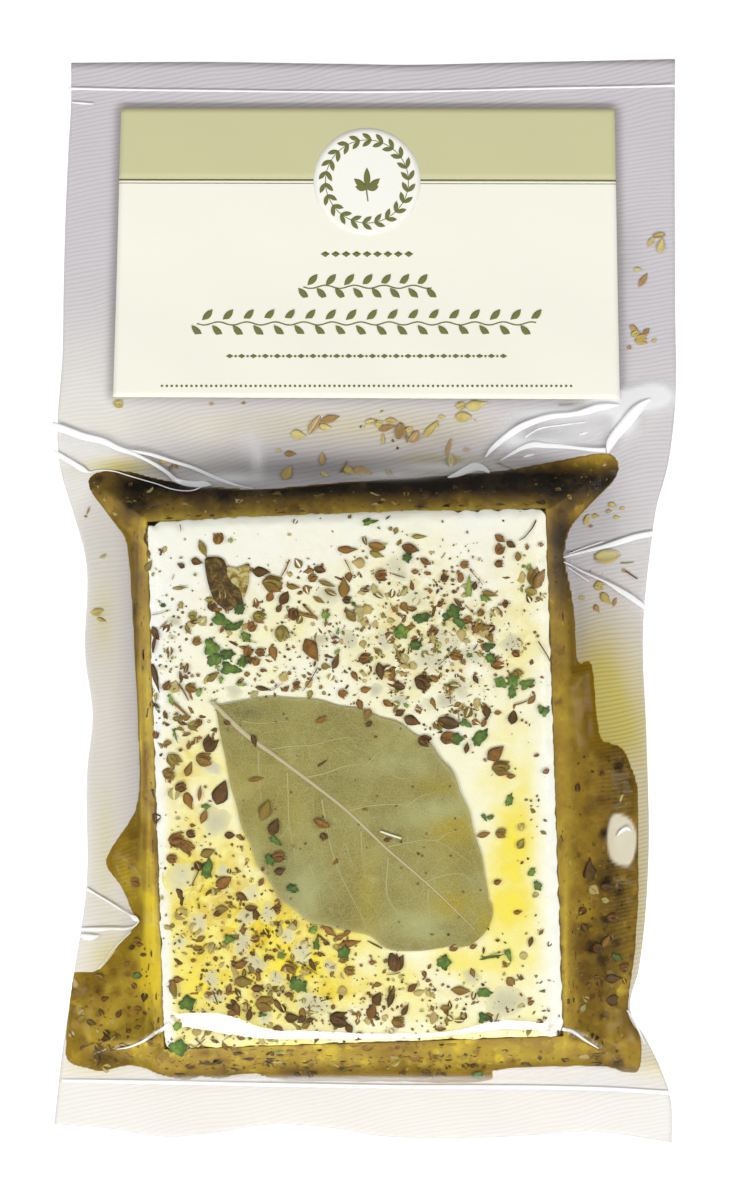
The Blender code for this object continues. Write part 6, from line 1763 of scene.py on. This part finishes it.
setGreens = [
    (231, 541, 6, 6, 0, 0.95), (325, 615, 10, 9, 0, 0.85), (368, 523, 18, 8, 10, 0.7), (366, 521, 10, 5, 20, 0.2),
    (406, 558, 12, 12, 0, 0.15), (527, 568, 9, 4, 60, 0.75), (468, 590, 24, 8, 88, 0.95), (483, 598, 12, 8, -20, 0.6),
    (452, 612, 18, 16, 30, 0.3), (458, 622, 18, 10, -40, 0.4), (446, 616, 12, 10, 50, 0.2), (420, 618, 24, 12, 10, 0.2),
    (400, 632, 19, 17, 20, 0.6), (414, 645, 14, 12, 0, 0.12), (487, 647, 14, 12, 20, 0.1), (489, 657, 14, 11, -70, 0.45),
    (206, 805, 12, 6, 0, 0.5), (208, 869, 24, 13, 80, 0.35), (229, 937, 12, 12, 0, 0.45), (297, 981, 24, 17, -40, 0.4),
    (187, 1001, 22, 17, 20, 0.3), (344, 952, 18, 14, 80, 0.3), (317, 943, 16, 8, 85, 0.3), (313, 928, 12, 9, 40, 0.8),
    (178, 1045, 26, 22, 0, 0.45), (178, 1024, 12, 9, 40, 0.85), (276, 1049, 12, 6, 0, 0.75), (281, 953, 9, 8, -30, 0.6),
    (442, 960, 18, 17, 0, 0.3), (488, 955, 30, 3.5, 12, 0.3), (507, 951, 15, 8, -70, 0.45), (530, 871, 12, 8, 50, 0.6),
    (536, 883, 14, 9, -60, 0.5), (482, 990, 18, 11, 0, 0.45), (482, 1015, 14, 14, 0, 0.12), (477, 1078, 14, 12, 0, 0.5),
    (617, 958, 16, 8, -35, 0.3), (135, 977, 11, 8, 0, 0.4), (222, 620, 30, 15, -30, 0.4), (240, 610, 16, 12, 60, 0.12),
    (212, 646, 26, 17, -70, 0.5), (214, 660, 20, 14, 20, 0.45), (229, 668, 24, 16, -10, 0.4), (243, 662, 16, 12, 40, 0.3),
    (246, 636, 16, 10, -50, 0.5), (231, 627, 18, 9, 0, 0.1), (239, 625, 12, 9, 40, 0.1), (227, 654, 18, 13, 0, 0.12),
    (501, 683, 18, 12, 150, 0.55), (512, 681, 18, 13, 85, 0.5), (524, 684, 18, 12, 25, 0.55), (511, 693, 16, 10, 88, 0.35),
    (453, 738, 22, 13, 0, 0.3), (478, 738, 24, 14, 50, 0.4), (464, 722, 14, 10, -30, 0.5), (508, 800, 16, 9, 70, 0.55),
    (540, 708, 14, 9, -50, 0.5), (544, 712, 14, 8, 60, 0.55), (483, 815, 10, 5, -60, 0.4), (489, 816, 9, 6, 20, 0.4),
    (172, 698, 16, 5, -75, 0.85), (176, 733, 18, 2.5, -70, 0.7), (218, 667, 7, 4, 75, 0.9), (241, 684, 14, 4, -5, 0.9),
    (222, 680, 10, 5, 85, 0.85), (200, 693, 10, 6, 70, 0.8), (262, 1012, 10, 6, 0, 0.3), (200, 690, 8, 5, 30, 0.85),
    (270, 857, 16, 10, -60, 0.25), (292, 886, 14, 10, -20, 0.2), (275, 838, 16, 8, -40, 0.3), (384, 545, 8, 2, 20, 0.95),
    (196, 575, 4, 4, 0, 0.8), (154, 575, 5, 4, 60, 0.9), (338, 632, 8, 4, 80, 0.6), (337, 652, 9, 4, 45, 0.75)]
setStems = [  # photo x, photo y at both ends, width in millimetres, tone
    (290, 560, 281, 578, 0.35, 0.4), (318, 667, 303, 691, 0.2, 0.02), (180, 683, 190, 700, 0.4, 0.3),
    (225, 589, 242, 608, 0.3, 0.5), (217, 600, 226, 591, 0.25, 0.5), (535, 521, 526, 535, 0.35, 0.15),
    (526, 535, 518, 541, 0.25, 0.1), (537, 641, 552, 665, 0.3, 0.15), (181, 525, 182, 532, 0.2, 0.2),
    (305, 606, 318, 620, 0.5, 0.55), (299, 613, 318, 618, 0.8, 0.6), (340, 472, 347, 460, 0.25, 0.55),
    (498, 462, 516, 469, 0.3, 1.0), (560, 404, 574, 403, 0.35, 0.5), (622, 563, 635, 562, 0.25, 1.0),
    (627, 571, 639, 579, 0.35, 0.3), (456, 647, 438, 665, 0.15, 0.02), (497, 605, 510, 603, 0.25, 0.3),
    (470, 571, 482, 585, 0.2, 0.5), (514, 704, 526, 700, 0.35, 0.5), (448, 684, 450, 703, 0.25, 0.4),
    (153, 615, 172, 610, 0.15, 0.4), (240, 637, 258, 643, 0.2, 0.95), (400, 970, 386, 972, 0.2, 0.1),
    (197, 1036, 206, 1046, 0.25, 0.15), (206, 1036, 196, 1044, 0.2, 0.15), (271, 690, 284, 682, 0.15, 0.6),
    (152, 700, 160, 712, 0.2, 0.05), (392, 574, 405, 578, 0.2, 0.4), (328, 630, 336, 646, 0.15, 0.3),
    (175, 702, 190, 716, 0.6, 0.55), (300, 960, 318, 972, 0.2, 0.1), (345, 560, 352, 575, 0.25, 0.45)]
needle = [(380, 829.5, 0.4), (390, 833, 0.45), (401, 836.5, 0.4)]
tornLeaf = {
    "brown": ([(206, 560), (213, 557), (222, 558), (227, 564), (228, 574), (232, 582), (239, 588), (243, 596),
               (244, 609), (238, 606), (230, 611), (221, 606), (213, 595), (208, 578)], 0.24),
    "golden": ([(227, 567), (238, 568), (250, 564), (250, 576), (249, 586), (244, 598), (236, 596), (230, 582)], 0.82)}
setGarlic = [  # photo x, photo y, width, height
    (182, 875, 28, 34), (224, 870, 16, 14), (251, 891, 20, 15), (248, 915, 22, 18), (269, 911, 18, 20), (243, 941, 22, 30),
    (200, 921, 20, 20), (289, 933, 14, 18), (303, 950, 18, 30), (256, 961, 24, 20), (213, 976, 14, 22),
    (277, 976, 16, 16), (216, 993, 20, 20), (314, 1003, 34, 26), (266, 1015, 16, 12), (331, 964, 14, 14),
    (181, 940, 14, 14), (217, 820, 26, 34), (214, 768, 16, 15), (430, 659, 28, 32), (454, 645, 14, 22), (511, 643, 22, 20),
    (235, 692, 18, 14), (471, 975, 18, 16), (505, 1000, 44, 28), (391, 1028, 16, 9), (175, 622, 14, 12),
    (330, 595, 34, 20), (395, 568, 26, 22), (440, 640, 30, 26), (470, 655, 24, 22), (415, 600, 30, 18), (385, 640, 18, 22),
    (400, 575, 16, 16), (460, 690, 20, 18), (430, 705, 18, 14), (320, 640, 16, 14), (445, 700, 20, 16),
    (376, 690, 16, 12), (400, 700, 16, 12), (350, 640, 18, 18), (163, 668, 9, 8), (173, 637, 9, 7)]


def setMesh(name, rows, shapeCount, lift=0.0, surface=None):  # points for set pieces with their turn, size and tone
    table = np.array(rows, float)
    x, y = fromPhoto(table[:, 0], table[:, 1])
    step = 0.25
    slopeX = np.clip((plainFilm(x + step, y) - plainFilm(x - step, y)) / (2 * step), -1.2, 1.2)
    slopeY = np.clip((plainFilm(x, y + step) - plainFilm(x, y - step)) / (2 * step), -1.2, 1.2)
    if surface is not None:
        slopeX, slopeY = 0.0 * x, 0.0 * y
    order = np.arange(len(rows))
    shapes = order * 7 % shapeCount if shapeCount else table[:, 5]  # without a count the last number is the shape
    z = (surface or bitSurface)(x, y) + lift + 0.02 * (order * 5 % 7 if surface is None else 0.0)
    turns, sizes = [], []
    for k, (_, _, length, width, degrees, _) in enumerate(rows):
        ahead = Vector((math.cos(math.radians(degrees)), math.sin(math.radians(degrees)), 0.0))
        ahead.z = ahead.x * slopeX[k] + ahead.y * slopeY[k]
        ahead.normalize()
        up = Vector((-slopeX[k], -slopeY[k], 1.0)).normalized()
        turns.append(Matrix((ahead, up.cross(ahead), up)).transposed().to_euler())
        sizes.append((length * photo["scale"], width * photo["scale"], min(1.4, 0.5 * length * photo["scale"])))
    mesh = bpy.data.meshes.new(name)
    mesh.from_pydata([tuple(point) for point in np.column_stack([x, y, z]) * mm], [], [])
    for key, values in (("turn", turns), ("size", sizes)):
        mesh.attributes.new(key, "FLOAT_VECTOR", "POINT").data.foreach_set("vector", np.array(values, np.float32).ravel())
    mesh.attributes.new("tone", "FLOAT", "POINT").data.foreach_set("value", table[:, 5].astype(np.float32))
    mesh.attributes.new("shape", "INT", "POINT").data.foreach_set("value", shapes.astype(np.int32))
    return mesh


def setPiecesOf(name, rows, shelf, finish, count, lift=0.0, surface=None):
    made = runTree(name, setMesh(name, rows, count, lift, surface), setPieces, {"Shapes": shelf, "Finish": finish})
    print(name, len(made.data.polygons))
    return made


def patchParts(outline, tone, lift, waves, rings=6):  # a torn flat leaf inside an outline read from the photo
    points = roundedOutline([fromPhoto(*spot) for spot in outline], 3)
    middle = np.mean(points, axis=0)
    top = (lambda x, y, rim: bitSurface(x, y) + lift + waves * np.sin(2.4 * x + 1.3 * y) * np.cos(2.0 * y - x))
    bottom = (lambda x, y, rim: top(x, y, rim) - 0.07)
    return discParts(middle, points, rings, top, bottom, {"tone": tone, "bladeAcross": 0.2})


def garlicParts(number, px, py, wide, high):
    draw = random.Random(700 + number)
    x, y = fromPhoto(px, py)
    starts = [draw.uniform(0, 6.28) for _ in range(3)]
    outline = []
    for k in range(28):
        turn = 2 * math.pi * k / 28
        reach = 1.0 + 0.12 * math.sin(2 * turn + starts[0]) + 0.08 * math.sin(3 * turn + starts[1])
        reach += 0.05 * math.sin(5 * turn + starts[2])
        outline.append((x + 0.62 * wide * photo["scale"] * reach * math.cos(turn),
                        y + 0.62 * high * photo["scale"] * reach * math.sin(turn)))
    # the rim lies under the cheese's surface, so the piece ends without a step
    top = (lambda x, y, rim: cheeseTop(x, y) - 0.1 + 0.28 * (1.0 - rim ** 2) + 0.004 * (number % 5))
    bottom = (lambda x, y, rim: top(x, y, rim) - 0.06)
    stain = float(cheeseStain(np.array([x]), np.array([y]))[0])
    return discParts((x, y), outline, 5, top, bottom, {"tone": draw.random(), "stain": stain})


def garlicMaterial():
    material, tree, shader = newMaterial("garlic", Roughness=0.45, **{"Specular IOR Level": 0.2})
    patches = placeGroup(tree, mottle, {"Place": objectPlace(tree), "Scale": 260.0, "Detail Scale": 1500.0,
                                        "Contrast": 1.8})
    tone = mathNode(tree, "ADD", mathNode(tree, "MULTIPLY", patches.outputs["Patches"], 0.5),
                    mathNode(tree, "MULTIPLY", attributeNode(tree, "tone"), 0.5), clamp=True)
    colour = rampNode(tree, tone, [(0.0, (0.46, 0.44, 0.31)), (0.45, (0.57, 0.54, 0.38)), (0.8, (0.7, 0.66, 0.43)),
                                   (1.0, (0.64, 0.61, 0.46))])
    around = rampNode(tree, attributeNode(tree, "stain"), cheeseFinish)  # the cheese's own colour towards the rim
    soft = mathNode(tree, "POWER", attributeNode(tree, "rim"), 2.0)
    colour = mixColour(tree, mathNode(tree, "ADD", mathNode(tree, "MULTIPLY", soft, 0.9), 0.1), colour, around)
    tree.links.new(colour, shader.inputs["Base Color"])
    addBump(tree, shader, patches.outputs["Patches"], 0.2, 0.0002)
    return material


def printTop(x, y):
    onDisc = np.hypot(x - discMiddle[0], y - discMiddle[1]) < printSizes["discRadius"]
    return labelTop(x, y) + printSizes["rise"] * np.where(onDisc, 3.2, 0.9)


printSet = [row for line in printLines.values() for row in printRow(*line)]
wreath = setPiecesOf("labelWreath", wreathRows(), printShapes, olivePrint, 1, 0.0, printTop)
printRows = setPiecesOf("labelPrint", printSet, printShapes, olivePrint, 0, 0.0, printTop)
ringRoute = [(printSizes["discMiddle"][0] + 41.8 * math.cos(k / 10), printSizes["discMiddle"][1] + 41.8 * math.sin(k / 10),
              0.16) for k in range(64)]
sprigStem = [(367, 176, 0.3), (366.5, 186, 0.32), (368, 199, 0.25)]
printStems = newPiece("labelStems", newMesh("labelStems", *joinParts([
    lineParts(route, printTop, 0.02, 0.03) for route in [ringRoute, sprigStem] + [
        wavyStem(*values) for values in printWaves.values()]])), olivePrint)
bunchLeaves = ((-0.17, -16, -0.12), (0.17, 18, 0.0), (0.0, 3, 0.12))  # share aside, lean in degrees, tone shift


def bunched(rows):  # a piece nearly as wide as long is a bunch of three leaves
    made = []
    for x, y, length, width, turn, tone in rows:
        if length < 9 or width < 0.68 * length:
            made.append((x, y, length, min(width, 0.66 * length), turn, tone))
            continue
        for aside, lean, shift in bunchLeaves:
            across = math.radians(turn + 90)
            made.append((x + aside * length * math.cos(across), y - aside * length * math.sin(across), 0.92 * length,
                         0.5 * length, turn + lean, min(max(tone + shift, 0.0), 1.0)))
    return made


driedRows = bunched([row for part, rows in setHerbs.items() if part != "margins" for row in rows])
marginFinish = herbMaterial("marginHerb", marginStops, (0.42, 0.3, 0.12), 1.0, (0.7, 0.55, 0.2))
marginSet = setPiecesOf("marginLeavesSet", bunched(setHerbs["margins"]), driedShapes, marginFinish, 6)
thymeSet = setPiecesOf("thymeLeavesSet", driedRows, driedShapes, driedFinish, 6)
greensSet = setPiecesOf("greenLeavesSet", setGreens, greenShapes, greenFinish, 4, 0.05)
stemSet = newPiece("stemsSet", newMesh("stemsSet", *joinParts([
    lineParts([(ax, ay, width), ((ax + bx) / 2 + 0.6, (ay + by) / 2 + 0.5, 0.8 * width), (bx, by, 0.6 * width)],
              lambda x, y: bitSurface(x, y) + 0.16, 0.08, 0.09, {"tone": tone})
    for ax, ay, bx, by, width, tone in setStems])), driedFinish)
tornSet = newPiece("tornLeaf", newMesh("tornLeaf", *joinParts([
    patchParts(*tornLeaf["golden"], 0.12, 0.05), patchParts(*tornLeaf["brown"], 0.2, 0.08)])), tornFinish)
needleSet = newPiece("paleNeedle", newMesh("paleNeedle", *lineParts(
    needle, lambda x, y: bitSurface(x, y) + 0.14, 0.1, 0.1)), paperMaterial("paleNeedle", (0.9, 0.86, 0.7), (0.7, 0.6, 0.42)))
garlicSet = newPiece("garlic", newMesh("garlic", *joinParts([
    garlicParts(number, *row) for number, row in enumerate(setGarlic)])), garlicMaterial())
print("set herbs made")


# attach the pieces to the root body, hide the solids they replace and clear the shape shelves

rides = [(frontFilm, "feta_pouch", "pouch_film"), (creases, "feta_pouch", "pouch_film"),
         (backFilm, "feta_pouch", "back_film"), (cheese, "feta_pouch", "cheese"),
         (marinade, "feta_pouch", "herb_oil"), (bayLeaf, "feta_pouch", "bay_leaf"),
         (bayLeafVeins, "feta_pouch", "bay_leaf"), (thymeSet, "feta_pouch", "dried_herbs"),
         (greensSet, "feta_pouch", "green_herbs"), (stemSet, "feta_pouch", "dried_herbs"),
         (marginSet, "feta_pouch", "dried_herbs"),
         (tornSet, "feta_pouch", "dried_herbs"), (needleSet, "feta_pouch", "dried_herbs"),
         (garlicSet, "feta_pouch", "garlic"), (paper, "paper_label", "label_paper"),
         (band, "paper_label", "label_print"), (rules, "paper_label", "label_print"),
         (disc, "paper_label", "label_paper"), (wreath, "paper_label", "label_print"),
         (printRows, "paper_label", "label_print"), (printStems, "paper_label", "label_print")]
slots = {"greenFlakes": "green_herbs"}
rides += [(piece, "feta_pouch", slots.get(name, "dried_herbs")) for name, piece in strewnPieces.items()]
for piece, node, slotName in rides:
    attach(piece, "root")
    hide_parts(node)
for shelf in (driedShapes, greenShapes, stemShapes, crumbShapes, printShapes):
    for shape in list(shelf.objects):
        bpy.data.objects.remove(shape)
    bpy.data.collections.remove(shelf)


def makeFloor():
    half = studio["floorHalf"] / mm
    mesh = bpy.data.meshes.new("floor")
    mesh.from_pydata([(sx * half * mm, sy * half * mm, -0.02 * mm) for sx, sy in ((-1, -1), (1, -1), (1, 1), (-1, 1))],
                     [], [(0, 1, 2, 3)])
    material, tree, shader = newMaterial("paleFloor", Roughness=0.8, **{"Specular IOR Level": 0.1})
    shader.inputs["Base Color"].default_value = (0.95, 0.95, 0.95, 1.0)
    shader.inputs["Emission Color"].default_value = (1.0, 1.0, 1.0, 1.0)
    shader.inputs["Emission Strength"].default_value = studio["floorGlow"]
    return newPiece("floor", mesh, material)


makeFloor()
